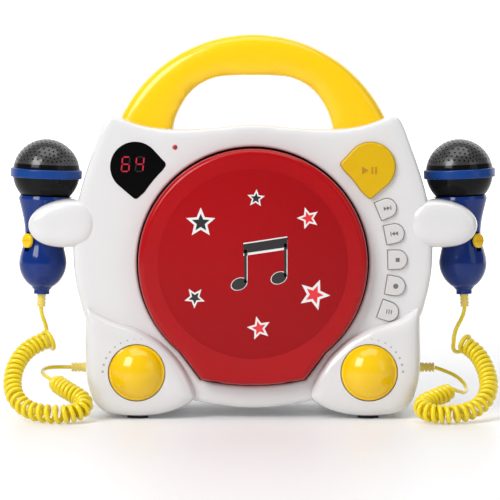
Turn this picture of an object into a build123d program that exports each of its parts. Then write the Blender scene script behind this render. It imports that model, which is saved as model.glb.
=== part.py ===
from build123d import *
import os
from math import asin, cos, pi, radians, sin, tan

# Karaoke disc player, in millimetres. Seen from the front, X is to the right, Z is up and
# the front faces -Y. The origin is on the floor, below the middle of the object.

# ---------------------------------------------------------------- driving dimensions
# casing
wall = 2.5                   # shell wall
casing_front = -42           # depth of the casing's front face
casing_back = 58             # depth of its back face
split = 6                    # depth where the two shells meet
edge_round = 4.5             # rounding of the casing's front edge
back_round = 4.5
shoulder_round = 6
shoulder = (94.5, 198)
crown_height = 191.8         # top of the casing at its middle
crown_points = ((46, 3.4), (73, 0.8))      # x, and how far below the crown's height
side_points = ((108.8, 163), (117.5, 125), (117, 92), (109.4, 64))
hip = (78, 26)
belly_height = 6.5           # underside of the casing at its middle
belly_point = (38.7, 4.8)    # x, and how far above the belly's height
over = 1                     # how far a cut runs past the face that it opens
sink = 0.5                   # how far a rib or post runs into what carries it

# feet
foot_front = -50
foot_back = 54
foot_round = 6
foot_base = 1.5              # underside of the foot, above the floor
foot_rounds = ((56, 14), (73, 34, 21.5), (99, 50, 12), (97, 15.4))
pad_radius = 7
pad_at = (76, (-36, 42))     # x, and the depths of the front and back pad

# lid and disc bay
disc_centre_z = 102.7
disc_radius = 60
lid_radius = 75
lid_foot_z = 22.9            # lowest point of the lid's tab
tab_half_width = 34
tab_corner_z = 26.8
tab_start_x = 47.6           # where the tab leaves the lid's circle
lid_back = -41.5
lid_front = -53
lid_wall = 2.2
lid_round = 4
lid_gap = 1.2                # between the lid and the casing
label_margin = 13            # from the label's edge to the lid's
label_depth = 0.5
label_fit = 0.1
bay_floor = -27
bay_wall = 2
bay_flange = 4.8
bay_flange_depth = 1.5
bay_post_at = (44, 30)       # x, and height above or below the disc's centre
bay_post_radius = 3
disc_ring = (1.2, 2.4)       # inside and outside of the raised ring, beyond the disc's edge
disc_ring_height = 1
spindle_hole = 8
hinge_y = -46
hinge_z = 29
pin_radius = 1.5
lug_x = 24
lug_width = 4
lug_radius = 3.4
lug_notch = (1, 2, 5)        # room round a lug in the lid: beside, below and above it
knuckle_x = 17
knuckle_width = 6
knuckle_trim = 0.4           # how much less than the lug's radius
play_fit = 0.05              # radial clearance of a running fit
snug = 0.02                  # radial clearance of pieces that are pressed together
flat_left = 0.01             # left between two roundings that nearly meet
loose = 0.3                  # clearance round a piece that moves in a cut-out

# lid catch
catch_angle = 39.3
catch_margin = 6             # from the catch's middle to the lid's edge
tongue = (6, 3)
tongue_tip = -33
catch_size = (10, 7.6)
catch_mouth = -36
catch_root = 5               # how far the catch reaches behind the bay's floor
catch_slot = 6               # how far its cut runs past the floor, to the front
mouth_depth = 2              # behind the tongue's tip
catch_slack = 0.7

# display, lamp and buttons
window_corner_radius = 2.5
window_round = (77.1, 165.8, 16.4)
window_inner_corner = (59.6, 167.3)
window_lower_corner = (76.8, 147.3)
window_lid_gap = 9.8         # from the lid's edge to the side that follows it
window_fit = 0.1
window_proud = 0.3
window_flange = 1
module_size = (26, 20, 4)
module_board = (30, 24)
button_proud = 3
button_round = 1.2
button_travel = 1.2
button_stop = 0.2            # between a stem and its switch when the button is down
stem_offset = (3, 1)         # the stem's place inwards of and below the button's middle
stem_radius = 3
key_count = 5
key_lid_gap = 19.9           # from the lid's edge to the middle of a key
key_round = 0.8
key_stem_radius = 2.5
key_first_angle = 22.3
key_step = 10.5
key_half = 6.5
key_proud = 2.3
flange = 1.2
flange_gap = 0.1
key_board_depth = 8.5        # behind the casing's front wall
key_board_angles = (-31, 49)
key_board_edges = (9.5, 8.5) # inwards and outwards of the keys' arc
key_board_posts = ((0, -27), (6, 28))      # beyond the keys' arc, and the angle
key_post_radius = 2
switch_body = (3, 2.6)       # half width, height
switch_pin = (1.7, 1)        # radius, height
board = 1.6                  # circuit board thickness
lamp_at = (-51, 178.6)
lamp_radius = 1.6
lamp_flange = (0.6, 1)
lamp_proud = 1
lamp_round = 1.2
digits_at = (-78.7, 167.5)

# knobs
knob_at = (76.2, 31)
knob_radius = 18.3
knob_front = -58
cup_floor = -45.5
cup_gap = 0.6
knob_clear = 0.4             # between the knob and its cup's floor
knob_skirt = 3               # height of the knob's straight side
knob_step = 1.4              # width of the step round its dome
rim_step = 0.5               # height of that step
shaft_radius = 3
shaft_length = 8.5           # behind the cup's floor
shaft_hole = 1.5             # clearance of the hole in the floor
bushing = 1.4                # wall of the control's bushing, which fills that hole
control_half = 8
control_floor = 2            # behind the shaft's end
shaft_room = 0.3

# disc drive
drive_front = -23.5          # front face of the drive's plate
drive_plate = 2
spindle_radius = 1
table_radius = 15
table_front = -36
hub_radius = 7.4
drive_x = -50                # left end of the plate
drive_z = (62, 138.5)
spindle_reach = 8.5          # how far the spindle runs into its motor
spindle_motor_size = (11, 12)
table_edge = 1.5
hub_height = 3.5
hub_chamfer = 2
hub_stem = 5
sled_x = 18                  # inner end of the sled at rest
sled_length = 18
sled_half = 10               # half its height
sled_front = 4.5             # how far it stands before the bay's floor
sled_plate = (3.2, 3)        # before and behind the rods' depth
sled_edge = 4                # beyond the upper rod
sled_slack = (0.5, 1.5)      # room at the slot's ends
slot_room = 1                # room above and below it
lens = (3.2, 1)              # radius, height
sled_travel = 30
rod_radius = 1.5
rod_offset = 14
rod_y = -17
rod_start = 12               # x of the inner rod block
rod_end_room = 6
rod_block = (1.5, 3, 3.5)    # half width, half height, depth behind the rods
rack_offset = 22             # from the disc's centre down to the rack's pitch line
rack_height = 4
rack_end = 3
gear_front = -18.5
gear_room = 2                # between the gear and its motor's bracket
gear_module = 0.8
gear_teeth = 18
gear_x = 42
gear_width = 3
gear_shaft = 1
gear_shaft_reach = 6
motor_radius = 7
motor_length = 14
motor_plate = 2
motor_bracket = (11, 7, 4)   # half width, below and above the gear's axis
backlash = 0.22
addendum = 0.9               # of the module, for the rack and the gear
rack_root = 1.3
gear_root = 1.4
gear_body = 1.2

# rear of the casing
main_board_front = 14
main_board_x = 70
main_board_z = (92, 183)
main_post_at = (64, (100, 178))
main_post_radius = 3
speaker_at = (0, 147)
speaker_radius = 36
speaker_rim = 3              # thickness of its rim
speaker_depth = 22
magnet = (18, 9)             # radius, thickness
cone = ((28, 3), (30, 0), (14, 10), (0, 7))  # back and front of the cone: radius, depth
slot_rows = 11
slot_pitch = 6
slot_height = 3
slot_field = 33              # radius of the field of slots
battery_box_x = 58
battery_box_z = (26, 82)
battery_box_front = 28
battery_wall = 3.5
battery_floor = 2
battery_rim = 0.7            # how deep the door's rebate is
contact = (0.5, 7, 6, 22)    # thickness, half height, and depths in the box
contact_margin = 12
door_rest = 1.5              # how far the door overlaps the box's rim
door_gap = 0.5               # below the door, where it turns in the box's mouth
door_fit = 0.1
door_grips = (-3, 4)
door_grip = (8, 0.8, 1.8, 12, 0.5)   # half width, height, pitch, from the top, depth
jack_at = (-96, 98)
jack_radius = 2.75
jack_half = 6
jack_body = 13
jack_collar = 4.4
jack_hole = 4.5
jack_bore = 9
jack_pin = 1.05
screw_places = ((86, 187), (109.5, 88), (60, 13))
foot_boss_z = 20             # bosses lower than this stand in the feet
screw_radius = 1.5
screw_depth = 14             # of the hole before the seam
screw_end = 2                # room at its end
screw_clear = 0.2
screw_head_depth = 8         # of the head's seat behind the seam
screw_head = (3, 2)
screw_recess = 3.3
boss_radius = 4
rear_boss = 0.8              # how much wider the rear bosses are

# handle
handle_front = -32
handle_back = 12
handle_round = 6
handle_top = 251.6
handle_foot_x = 90
grip_height = 226.3          # underside of the grip
grip_half = 18               # half its straight length
handle_inner_x = 54.5
handle_inner = (51.5, 199)
handle_bend = ((42.8, 12), (31.4, 3.4))    # x, and how far below the grip
handle_sink = 8              # how far below the crown its feet are drawn

# microphones and their holders
mic_x = 137.6                # centre of the head
mic_y = -8
mic_z = 160.6
mic_lean = 2.5               # degrees, heads towards the casing
head_radius = 22.4
head_base = -15.5            # where the head meets the collar, along the mic's axis
band_radius = 23.8
band_low = -3.5
band_high = 2.5
band_round = 1
collar_radius = 17.7
head_wall = 1.4
collar_lip = (0.5, 2)
collar_end = (15, -27)
waist = (12.7, -41.2)
swell = (13.4, -48)
bulb = (15.8, -60)
tail = (13, -70)
tail_end = (7.2, -76)
nozzle_radius = 5.2
nozzle_start = -78.5
nozzle_end = -81
mic_wall = 3.5
mic_bore = 50
switch_angle = 48            # from the front, outwards
switch_z = -46
switch_slot = (5, 13)
switch_floor = 10.6
switch_length = 8
switch_fit = 0.6
switch_proud = 2.2
relief_length = 8.5
relief_radius = 2.9
relief_rings = 3
relief_ring = (2, 2.4, 0.8, 2.3, 3.2)      # first, pitch, width, inner and outer radius
arm_low = 112.4
arm_high = 144
arm_tip = 149.2
arm_root = 104
arm_front = -45
arm_back = 16
arm_round = 6
slot_clearance = 0.6
slot_reach = 60

# cords
wire = 2.8
coil_outer = 12.5
mic_lead_length = 18
corner_share = 0.45          # of the shorter run at a corner that its bend takes up
cord_exit_z = 29.5
cord_exit_x = 121.7
cord_hole = 3.1
cord_hole_depth = 20
cord_relief_radius = 3.08
cord_relief_depth = 16
lead_gap = 0.05
left_coil = [(-137.5, -9, 50), (-146, -16, 46.5), (-153.5, -25, 40), (-158, -35, 31),
             (-158.5, -45, 20), (-153, -55, 11.5), (-143.5, -63.5, 7), (-132, -69.5, 6.4),
             (-120.5, -72, 6.4), (-110.7, -67.5, 8.4), (-109.8, -58.2, 13.6),
             (-118.2, -49.5, 17.4), (-126.5, -38, 20.5), (-133, -26, 23.5)]
left_lead = [(-133, -26, 23.5), (-140, -16, 26), (-141.5, -4, 28.5), (-134, 3, 29.5),
             (-cord_exit_x, 0, cord_exit_z)]
right_coil = [(140.5, -9, 50), (147.5, -15, 43.5), (152, -24, 36.5), (155, -34, 28.5),
              (155.5, -44, 20.5), (152, -54, 13.5), (145, -62.5, 8.8), (136, -69.5, 6.8),
              (125.5, -73.5, 6.4), (114.5, -72, 6.9), (109.4, -64.5, 9.8), (113, -56, 13),
              (123, -47, 15.5), (133, -36.5, 18.5)]
right_lead = [(133, -36.5, 18.5), (139, -27.5, 15), (143, -17, 15.5), (141.5, -7, 20),
              (134, -0.5, 25.5), (cord_exit_x, 0, cord_exit_z)]

os.makedirs("parts", exist_ok=True)


# ---------------------------------------------------------------- helpers
def at_depth(y):
    """The upright plane at this depth, seen from the front."""
    return Plane.XZ.offset(-y)


def save(part, name):
    part.label = name
    export_step(part, f"parts/{name}.step")


def cylinder_at(x, z, radius, front, back):
    """A round bar along the depth, from its front end to its back end."""
    with BuildPart() as bar:
        with BuildSketch(at_depth(back)):
            with Locations((x, z)):
                Circle(radius)
        extrude(amount=back - front)
    return bar.part


def block_at(x_range, z_range, front, back):
    """A square-edged block between these limits."""
    with BuildPart() as block:
        with BuildSketch(at_depth(back)):
            with Locations(((x_range[0] + x_range[1]) / 2, (z_range[0] + z_range[1]) / 2)):
                Rectangle(x_range[1] - x_range[0], z_range[1] - z_range[0])
        extrude(amount=back - front)
    return block.part


def slab(face, front, back):
    """An outline drawn from the front, given its depth."""
    with BuildPart() as plate:
        with BuildSketch(at_depth(back)):
            add(face)
        extrude(amount=back - front)
    return plate.part


def grown(face, amount):
    """The outline made larger, or smaller where the amount is negative."""
    with BuildSketch() as larger:
        add(face)
        offset(amount=amount, kind=Kind.ARC)
    return larger.sketch


def polar(radius, angle):
    """A place around the disc's centre, the angle counted from the right."""
    return radius * cos(radians(angle)), disc_centre_z + radius * sin(radians(angle))


# ---------------------------------------------------------------- outlines
def mirrored(points):
    """The same points on the other side, in the opposite order."""
    return [(-x, z) for x, z in reversed(points)]


def casing_face(inset=0):
    """The casing seen from the front, without its feet."""
    crown, belly = crown_height - inset, belly_height + inset
    corner = (shoulder[0] - inset, shoulder[1] - inset)
    top = [(x, crown - drop) for x, drop in crown_points] + [corner]
    side = [(x - inset, z) for x, z in side_points]
    low_corner = (hip[0] - inset, hip[1] + inset)
    under = [low_corner, (belly_point[0], belly + belly_point[1])]
    with BuildSketch() as face:
        with BuildLine():
            Spline(*mirrored(top), (0, crown), *top)
            Spline(corner, *side, low_corner)
            Spline(*under, (0, belly), *mirrored(under))
            Spline(*mirrored([corner, *side, low_corner]))
        make_face()
    return face.sketch


def foot_face(side, inset=0):
    """One bulbous foot seen from the front."""
    with BuildSketch() as face:
        for spot in foot_rounds:
            radius = spot[-1]
            height = spot[1] if len(spot) == 3 else foot_base + radius
            with Locations((side * spot[0], height)):
                Circle(radius - inset)
        make_hull()
    return face.sketch


def rounded_block(face, front, back, round_front, rounding, corner=0):
    """A casing block with one rounded face and, if asked, rounded shoulders."""
    with BuildPart() as block:
        with BuildSketch(at_depth(back)):
            add(face)
        extrude(amount=back - front)
        if corner:
            shoulders = block.edges().filter_by(Axis.Y).filter_by(lambda e: e.center().Z > disc_centre_z)
            fillet(shoulders, corner)
        end = block.faces().sort_by(Axis.Y)[0 if round_front else -1]
        fillet(end.outer_wire().edges(), rounding)
    return block.part


def lid_face():
    """The round lid with its hinge tab."""
    start_z = disc_centre_z - (lid_radius**2 - tab_start_x**2) ** 0.5
    with BuildSketch() as face:
        with BuildLine():
            ThreePointArc((-tab_start_x, start_z), (0, disc_centre_z + lid_radius), (tab_start_x, start_z))
            Line((tab_start_x, start_z), (tab_half_width, tab_corner_z))
            ThreePointArc((tab_half_width, tab_corner_z), (0, lid_foot_z), (-tab_half_width, tab_corner_z))
            Line((-tab_half_width, tab_corner_z), (-tab_start_x, start_z))
        make_face()
    return face.sketch


def shield_face(side, inset=0):
    """Window or play button: round outside, hollow where it follows the lid."""
    x, z, radius = window_round
    with BuildSketch() as face:
        with Locations((side * x, z)):
            Circle(radius - inset)
        for corner_x, corner_z in (window_inner_corner, window_lower_corner):
            with Locations((side * corner_x, corner_z)):
                Circle(window_corner_radius - inset)
        make_hull()
        with Locations((0, disc_centre_z)):
            Circle(lid_radius + window_lid_gap + inset, mode=Mode.SUBTRACT)
    return face.sketch


def key_face(angle, inset=0):
    """A key, flat towards the lid and round outside."""
    half = key_half - inset
    with BuildSketch() as face:
        with Locations(Location((*polar(key_arc, angle), 0), angle)):
            Circle(half)
            with Locations((-half / 2, 0)):
                Rectangle(half, 2 * half)
    return face.sketch


key_arc = lid_radius + key_lid_gap
label_radius = lid_radius - label_margin
lid_shape = lid_face()
casing_shape = casing_face()
key_angles = [key_first_angle - key_step * i for i in range(key_count)]
casing_solid = slab(casing_shape, casing_front, casing_back)


# ---------------------------------------------------------------- casing shells
def shell(front_half):
    """One half of the hollow casing, with its feet."""
    if front_half:
        body_end, foot_end, rounding = casing_front, foot_front, edge_round
    else:
        body_end, foot_end, rounding = casing_back, foot_back, back_round
    inward = wall if front_half else -wall

    def span(end):
        return (end, split) if front_half else (split, end)

    with BuildPart() as half:
        add(rounded_block(casing_shape, *span(body_end), front_half, rounding, shoulder_round))
        for side in (-1, 1):
            add(rounded_block(foot_face(side), *span(foot_end), front_half, foot_round))
        add(slab(casing_face(wall), *span(body_end + inward)), mode=Mode.SUBTRACT)
        for side in (-1, 1):
            add(slab(foot_face(side, wall), *span(foot_end + inward)), mode=Mode.SUBTRACT)
    return half.part


inner_front = casing_front + wall
inner_back = casing_back - wall
board_front = inner_front + key_board_depth
switch_front = board_front - switch_body[1] - switch_pin[1]
screw_head_y = split + screw_head_depth

with BuildPart() as front_shell:
    add(shell(True))
    for side in (-1, 1):
        x, z = side * knob_at[0], knob_at[1]
        cup = knob_radius + cup_gap
        add(cylinder_at(x, z, cup + wall, foot_front + over, cup_floor + wall))
        add(cylinder_at(x, z, cup, foot_front - over, cup_floor), mode=Mode.SUBTRACT)
        add(cylinder_at(x, z, shaft_radius + shaft_hole, cup_floor - over, cup_floor + wall + over),
            mode=Mode.SUBTRACT)
        for bx, bz in screw_places:
            front_wall = inner_front if bz > foot_boss_z else foot_front + wall
            add(cylinder_at(side * bx, bz, boss_radius, front_wall - over, split))
            add(cylinder_at(side * bx, bz, screw_radius + snug, split - screw_depth, split),
                mode=Mode.SUBTRACT)
        with BuildSketch(Plane.YZ.offset(side * (cord_exit_x - cord_hole_depth))):
            with Locations((0, cord_exit_z)):
                Circle(cord_hole)
        extrude(amount=side * cord_hole_depth, mode=Mode.SUBTRACT)
    for outwards, angle in key_board_posts:
        x, z = polar(key_arc + outwards, angle)
        add(cylinder_at(x, z, key_post_radius, inner_front - over, board_front))
    front_wall = (casing_front - over, inner_front + over)
    add(slab(grown(lid_shape, lid_gap), *front_wall), mode=Mode.SUBTRACT)
    add(slab(shield_face(-1), *front_wall), mode=Mode.SUBTRACT)
    add(slab(shield_face(1), *front_wall), mode=Mode.SUBTRACT)
    for angle in key_angles:
        add(slab(key_face(angle), *front_wall), mode=Mode.SUBTRACT)
    add(cylinder_at(*lamp_at, lamp_radius + play_fit, *front_wall), mode=Mode.SUBTRACT)
save(front_shell.part, "front_shell")

battery_mouth_x = battery_box_x - door_rest
battery_mouth_z = (battery_box_z[0] + door_rest, battery_box_z[1] - door_rest)

with BuildPart() as rear_shell:
    add(shell(False))
    for side in (-1, 1):
        for bx, bz in screw_places:
            back_wall = inner_back + over if bz > foot_boss_z else foot_back - over
            add(cylinder_at(side * bx, bz, boss_radius + rear_boss, split, back_wall))
            add(cylinder_at(side * bx, bz, screw_recess, screw_head_y, casing_back + over),
                mode=Mode.SUBTRACT)
            add(cylinder_at(side * bx, bz, screw_radius + screw_clear, split - over, casing_back),
                mode=Mode.SUBTRACT)
        for z in main_post_at[1]:
            add(cylinder_at(side * main_post_at[0], z, main_post_radius, main_board_front + board,
                            inner_back + over))
    for index in range(slot_rows):
        rise = slot_pitch * (index - (slot_rows - 1) / 2)
        half = (slot_field**2 - rise**2) ** 0.5
        with BuildSketch(at_depth(casing_back + over)):
            with Locations((speaker_at[0], speaker_at[1] + rise)):
                SlotOverall(2 * half, slot_height)
        extrude(amount=wall + 2 * over, mode=Mode.SUBTRACT)
    add(block_at((-battery_mouth_x, battery_mouth_x), battery_mouth_z, inner_back - over, casing_back + over),
        mode=Mode.SUBTRACT)
    add(cylinder_at(*jack_at, jack_hole, inner_back - over, casing_back + over), mode=Mode.SUBTRACT)
save(rear_shell.part, "rear_shell")

with BuildPart() as case_screws:
    for side in (-1, 1):
        for bx, bz in screw_places:
            add(cylinder_at(side * bx, bz, screw_radius, split - screw_depth + screw_end, screw_head_y))
            add(cylinder_at(side * bx, bz, screw_head[0], screw_head_y, screw_head_y + screw_head[1]))
save(case_screws.part, "case_screws")

with BuildPart() as rubber_feet:
    with BuildSketch(Plane.XY):
        with Locations(*[(side * pad_at[0], y) for side in (-1, 1) for y in pad_at[1]]):
            Circle(pad_radius)
    extrude(amount=foot_base)
save(rubber_feet.part, "rubber_feet")


# ---------------------------------------------------------------- carry handle
with BuildPart() as carry_handle:
    with BuildSketch(at_depth(handle_back)):
        with BuildLine():
            foot_z = crown_height - handle_sink
            bend = [(x, grip_height - drop) for x, drop in handle_bend]
            inside = [(handle_inner_x, foot_z), handle_inner, *bend, (grip_half, grip_height)]
            ThreePointArc((-handle_foot_x, foot_z), (0, handle_top), (handle_foot_x, foot_z))
            Line((handle_foot_x, foot_z), inside[0])
            Spline(*inside)
            Line((grip_half, grip_height), (-grip_half, grip_height))
            Spline(*mirrored(inside))
            Line((-handle_inner_x, foot_z), (-handle_foot_x, foot_z))
        make_face()
    extrude(amount=handle_back - handle_front)
    rims = carry_handle.edges().filter_by(Axis.Y, reverse=True)
    fillet(rims.filter_by(lambda e: e.center().Z > grip_height), handle_round)
    add(casing_solid, mode=Mode.SUBTRACT)
save(carry_handle.part, "carry_handle")


# ---------------------------------------------------------------- disc bay and lid
sled_slot_x = (sled_x - sled_slack[0], sled_x + sled_length + sled_travel + sled_slack[1])
sled_slot_z = (disc_centre_z - sled_half - slot_room, disc_centre_z + sled_half + slot_room)
catch_x, catch_z = polar(lid_radius - catch_margin, catch_angle)


def catch_plane(y):
    """Upright plane at the catch, turned so that its local x runs outwards."""
    return Plane(origin=(catch_x, y, catch_z), z_dir=(0, -1, 0),
                 x_dir=(cos(radians(catch_angle)), 0, sin(radians(catch_angle))))


def catch_block(width, height, front, back):
    with BuildPart() as block:
        with BuildSketch(catch_plane(back)):
            Rectangle(height, width)
        extrude(amount=back - front)
    return block.part


def hinge_lug(x, width, radius, back):
    """An ear that carries the pin, from the pin's axis to this depth."""
    with BuildPart() as lug:
        with BuildSketch(Plane.YZ.offset(x - width / 2)):
            with Locations((hinge_y, hinge_z)):
                Circle(radius)
            with Locations(((hinge_y + back) / 2, hinge_z)):
                Rectangle(abs(back - hinge_y), 2 * radius)
            with Locations((hinge_y, hinge_z)):
                Circle(pin_radius + play_fit, mode=Mode.SUBTRACT)
        extrude(amount=width)
    return lug.part


with BuildPart() as disc_bay:
    bay_face = grown(lid_shape, lid_gap)
    bay_back = bay_floor + bay_wall
    add(slab(grown(bay_face, bay_flange), inner_front, inner_front + bay_flange_depth))
    add(slab(grown(bay_face, bay_wall), inner_front, bay_back))
    add(slab(bay_face, inner_front - over, bay_floor), mode=Mode.SUBTRACT)
    with BuildSketch(at_depth(bay_floor)):
        with Locations((0, disc_centre_z)):
            Circle(disc_radius + disc_ring[1])
            Circle(disc_radius + disc_ring[0], mode=Mode.SUBTRACT)
    extrude(amount=disc_ring_height)
    add(cylinder_at(0, disc_centre_z, spindle_hole, bay_floor - over, bay_back + over), mode=Mode.SUBTRACT)
    add(block_at(sled_slot_x, sled_slot_z, bay_floor - disc_ring_height - over, bay_back + over),
        mode=Mode.SUBTRACT)
    add(catch_block(catch_size[0] + 2 * loose, catch_size[1] + 2 * loose, bay_floor - catch_slot,
                    bay_back + over), mode=Mode.SUBTRACT)
    for side in (-1, 1):
        add(hinge_lug(side * lug_x, lug_width, lug_radius, bay_floor))
        for rise in (-bay_post_at[1], bay_post_at[1]):
            add(cylinder_at(side * bay_post_at[0], disc_centre_z + rise, bay_post_radius, bay_back - sink,
                            drive_front))
save(disc_bay.part, "disc_bay")

with BuildPart() as hinge_pin:
    with BuildSketch(Plane.YZ.offset(-lug_x - lug_width / 2)):
        with Locations((hinge_y, hinge_z)):
            Circle(pin_radius)
    extrude(amount=2 * lug_x + lug_width)
save(hinge_pin.part, "hinge_pin")

lid_inner = lid_front + lid_wall

with BuildPart() as lid:
    add(rounded_block(lid_shape, lid_front, lid_back, True, lid_round))
    add(slab(grown(lid_shape, -lid_wall), lid_inner, lid_back + over), mode=Mode.SUBTRACT)
    add(cylinder_at(0, disc_centre_z, label_radius, lid_front - over, lid_front + label_depth),
        mode=Mode.SUBTRACT)
    beside, below, above = lug_notch
    for side in (-1, 1):
        notch = (side * lug_x - lug_width / 2 - beside, side * lug_x + lug_width / 2 + beside)
        add(block_at(notch, (lid_foot_z - below, hinge_z + above), lid_inner, lid_back + over),
            mode=Mode.SUBTRACT)
        with BuildSketch(Plane.YZ.offset(side * knuckle_x - knuckle_width / 2)):
            knuckle_root = lid_inner - sink
            with Locations((hinge_y, hinge_z)):
                Circle(lug_radius - knuckle_trim)
            with Locations(((hinge_y + knuckle_root) / 2, hinge_z)):
                Rectangle(abs(knuckle_root - hinge_y), 2 * (lug_radius - knuckle_trim))
            with Locations((hinge_y, hinge_z)):
                Circle(pin_radius + play_fit, mode=Mode.SUBTRACT)
        extrude(amount=knuckle_width)
    add(catch_block(*tongue, lid_inner - sink, tongue_tip))
save(lid.part, "lid")

with BuildPart() as lid_label:
    add(cylinder_at(0, disc_centre_z, label_radius - label_fit, lid_front, lid_front + label_depth))
save(lid_label.part, "lid_label")

with BuildPart() as lid_catch:
    add(catch_block(*catch_size, catch_mouth, bay_back + catch_root))
    add(catch_block(tongue[0] + 2 * catch_slack, tongue[1] + 2 * catch_slack, catch_mouth - over,
                    tongue_tip + mouth_depth), mode=Mode.SUBTRACT)
save(lid_catch.part, "lid_catch")


# ---------------------------------------------------------------- window, lamp and buttons
with BuildPart() as display_window:
    add(slab(shield_face(-1, window_fit), casing_front - window_proud, inner_front))
    add(slab(grown(shield_face(-1), flange), inner_front, inner_front + window_flange))
save(display_window.part, "display_window")

with BuildPart() as display_module:
    x, z = digits_at
    width, height, depth = module_size
    module_front = inner_front + window_flange
    add(block_at((x - width / 2, x + width / 2), (z - height / 2, z + height / 2), module_front,
                 module_front + depth))
    width, height = module_board
    add(block_at((x - width / 2, x + width / 2), (z - height / 2, z + height / 2), module_front + depth,
                 module_front + depth + board))
save(display_module.part, "display_module")

with BuildPart() as power_lamp:
    add(cylinder_at(*lamp_at, lamp_radius, casing_front - lamp_proud, inner_front))
    add(cylinder_at(*lamp_at, lamp_radius + lamp_flange[0], inner_front, inner_front + lamp_flange[1]))
    tip = power_lamp.faces().sort_by(Axis.Y)[0]
    fillet(tip.edges(), lamp_round)
save(power_lamp.part, "power_lamp")

with BuildPart() as play_button:
    add(slab(shield_face(1, loose), casing_front - button_proud, inner_front))
    top = play_button.faces().sort_by(Axis.Y)[0]
    fillet(top.outer_wire().edges(), button_round)
    add(slab(grown(shield_face(1), flange), inner_front + flange_gap, inner_front + flange_gap + flange))
    add(slab(shield_face(1, loose), inner_front - flange_gap, inner_front + 2 * flange_gap))
    stem = window_round[0] - stem_offset[0], window_round[1] - stem_offset[1]
    add(cylinder_at(*stem, stem_radius, inner_front + flange_gap + flange - sink,
                    switch_front - button_travel - button_stop))
save(play_button.part, "play_button")

for number, angle in enumerate(key_angles, start=1):
    with BuildPart() as key:
        add(slab(key_face(angle, loose), casing_front - key_proud, inner_front + flange_gap))
        top = key.faces().sort_by(Axis.Y)[0]
        fillet(top.outer_wire().edges(), key_round)
        add(slab(key_face(angle, -flange), inner_front + flange_gap, inner_front + flange_gap + flange))
        add(cylinder_at(*polar(key_arc, angle), key_stem_radius, inner_front + flange_gap + flange - sink,
                        switch_front - button_travel - button_stop))
    save(key.part, f"key_{number}")

with BuildPart() as key_board:
    with BuildSketch(at_depth(board_front + board)):
        with BuildLine():
            low, high = key_board_angles
            inner, outer = key_arc - key_board_edges[0], key_arc + key_board_edges[1]
            ThreePointArc(polar(inner, low), polar(inner, (low + high) / 2), polar(inner, high))
            Line(polar(inner, high), polar(outer, high))
            ThreePointArc(polar(outer, high), polar(outer, (low + high) / 2), polar(outer, low))
            Line(polar(outer, low), polar(inner, low))
        make_face()
    extrude(amount=board)
    for x, z in [stem] + [polar(key_arc, angle) for angle in key_angles]:
        half, height = switch_body
        add(block_at((x - half, x + half), (z - half, z + half), board_front - height, board_front))
        add(cylinder_at(x, z, switch_pin[0], switch_front, board_front - height))
save(key_board.part, "key_board")


# ---------------------------------------------------------------- volume knobs
shaft_end = cup_floor + shaft_length

for side, name in ((-1, "volume"), (1, "mic_volume")):
    x, z = side * knob_at[0], knob_at[1]
    with BuildPart() as knob:
        with BuildSketch(Plane.XY.offset(z)):
            with BuildLine():
                base = cup_floor - knob_clear
                rim, brim = knob_radius - knob_step, base - knob_skirt
                shoulder_y = brim - rim_step
                rise = shoulder_y - knob_front
                dome = (rim**2 + rise**2) / (2 * rise)
                half_turn = asin(rim / dome) / 2
                Polyline((x, shaft_end), (x + shaft_radius, shaft_end), (x + shaft_radius, base),
                         (x + knob_radius, base), (x + knob_radius, brim), (x + rim, shoulder_y))
                ThreePointArc((x + rim, shoulder_y),
                              (x + dome * sin(half_turn), knob_front + dome * (1 - cos(half_turn))),
                              (x, knob_front))
                Line((x, knob_front), (x, shaft_end))
            make_face()
        revolve(axis=Axis((x, 0, z), (0, 1, 0)))
    save(knob.part, f"{name}_knob")
    with BuildPart() as control:
        add(cylinder_at(x, z, shaft_radius + bushing, cup_floor, cup_floor + wall))
        add(block_at((x - control_half, x + control_half), (z - control_half, z + control_half),
                     cup_floor + wall, shaft_end + control_floor))
        add(cylinder_at(x, z, shaft_radius + play_fit, cup_floor - over, shaft_end + shaft_room),
            mode=Mode.SUBTRACT)
    save(control.part, f"{name}_control")


# ---------------------------------------------------------------- disc drive
drive_back = drive_front + drive_plate
pitch_radius = gear_module * gear_teeth / 2
rack_pitch_z = disc_centre_z - rack_offset
gear_z = rack_pitch_z - pitch_radius
gear_y = (gear_front, gear_front + gear_width)
tooth_pitch = pi * gear_module
motor_mount_y = gear_y[1] + gear_room
rod_ends = (rod_start, sled_x + sled_length + sled_travel + rod_end_room)
rod_heights = (disc_centre_z - rod_offset, disc_centre_z + rod_offset)

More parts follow.
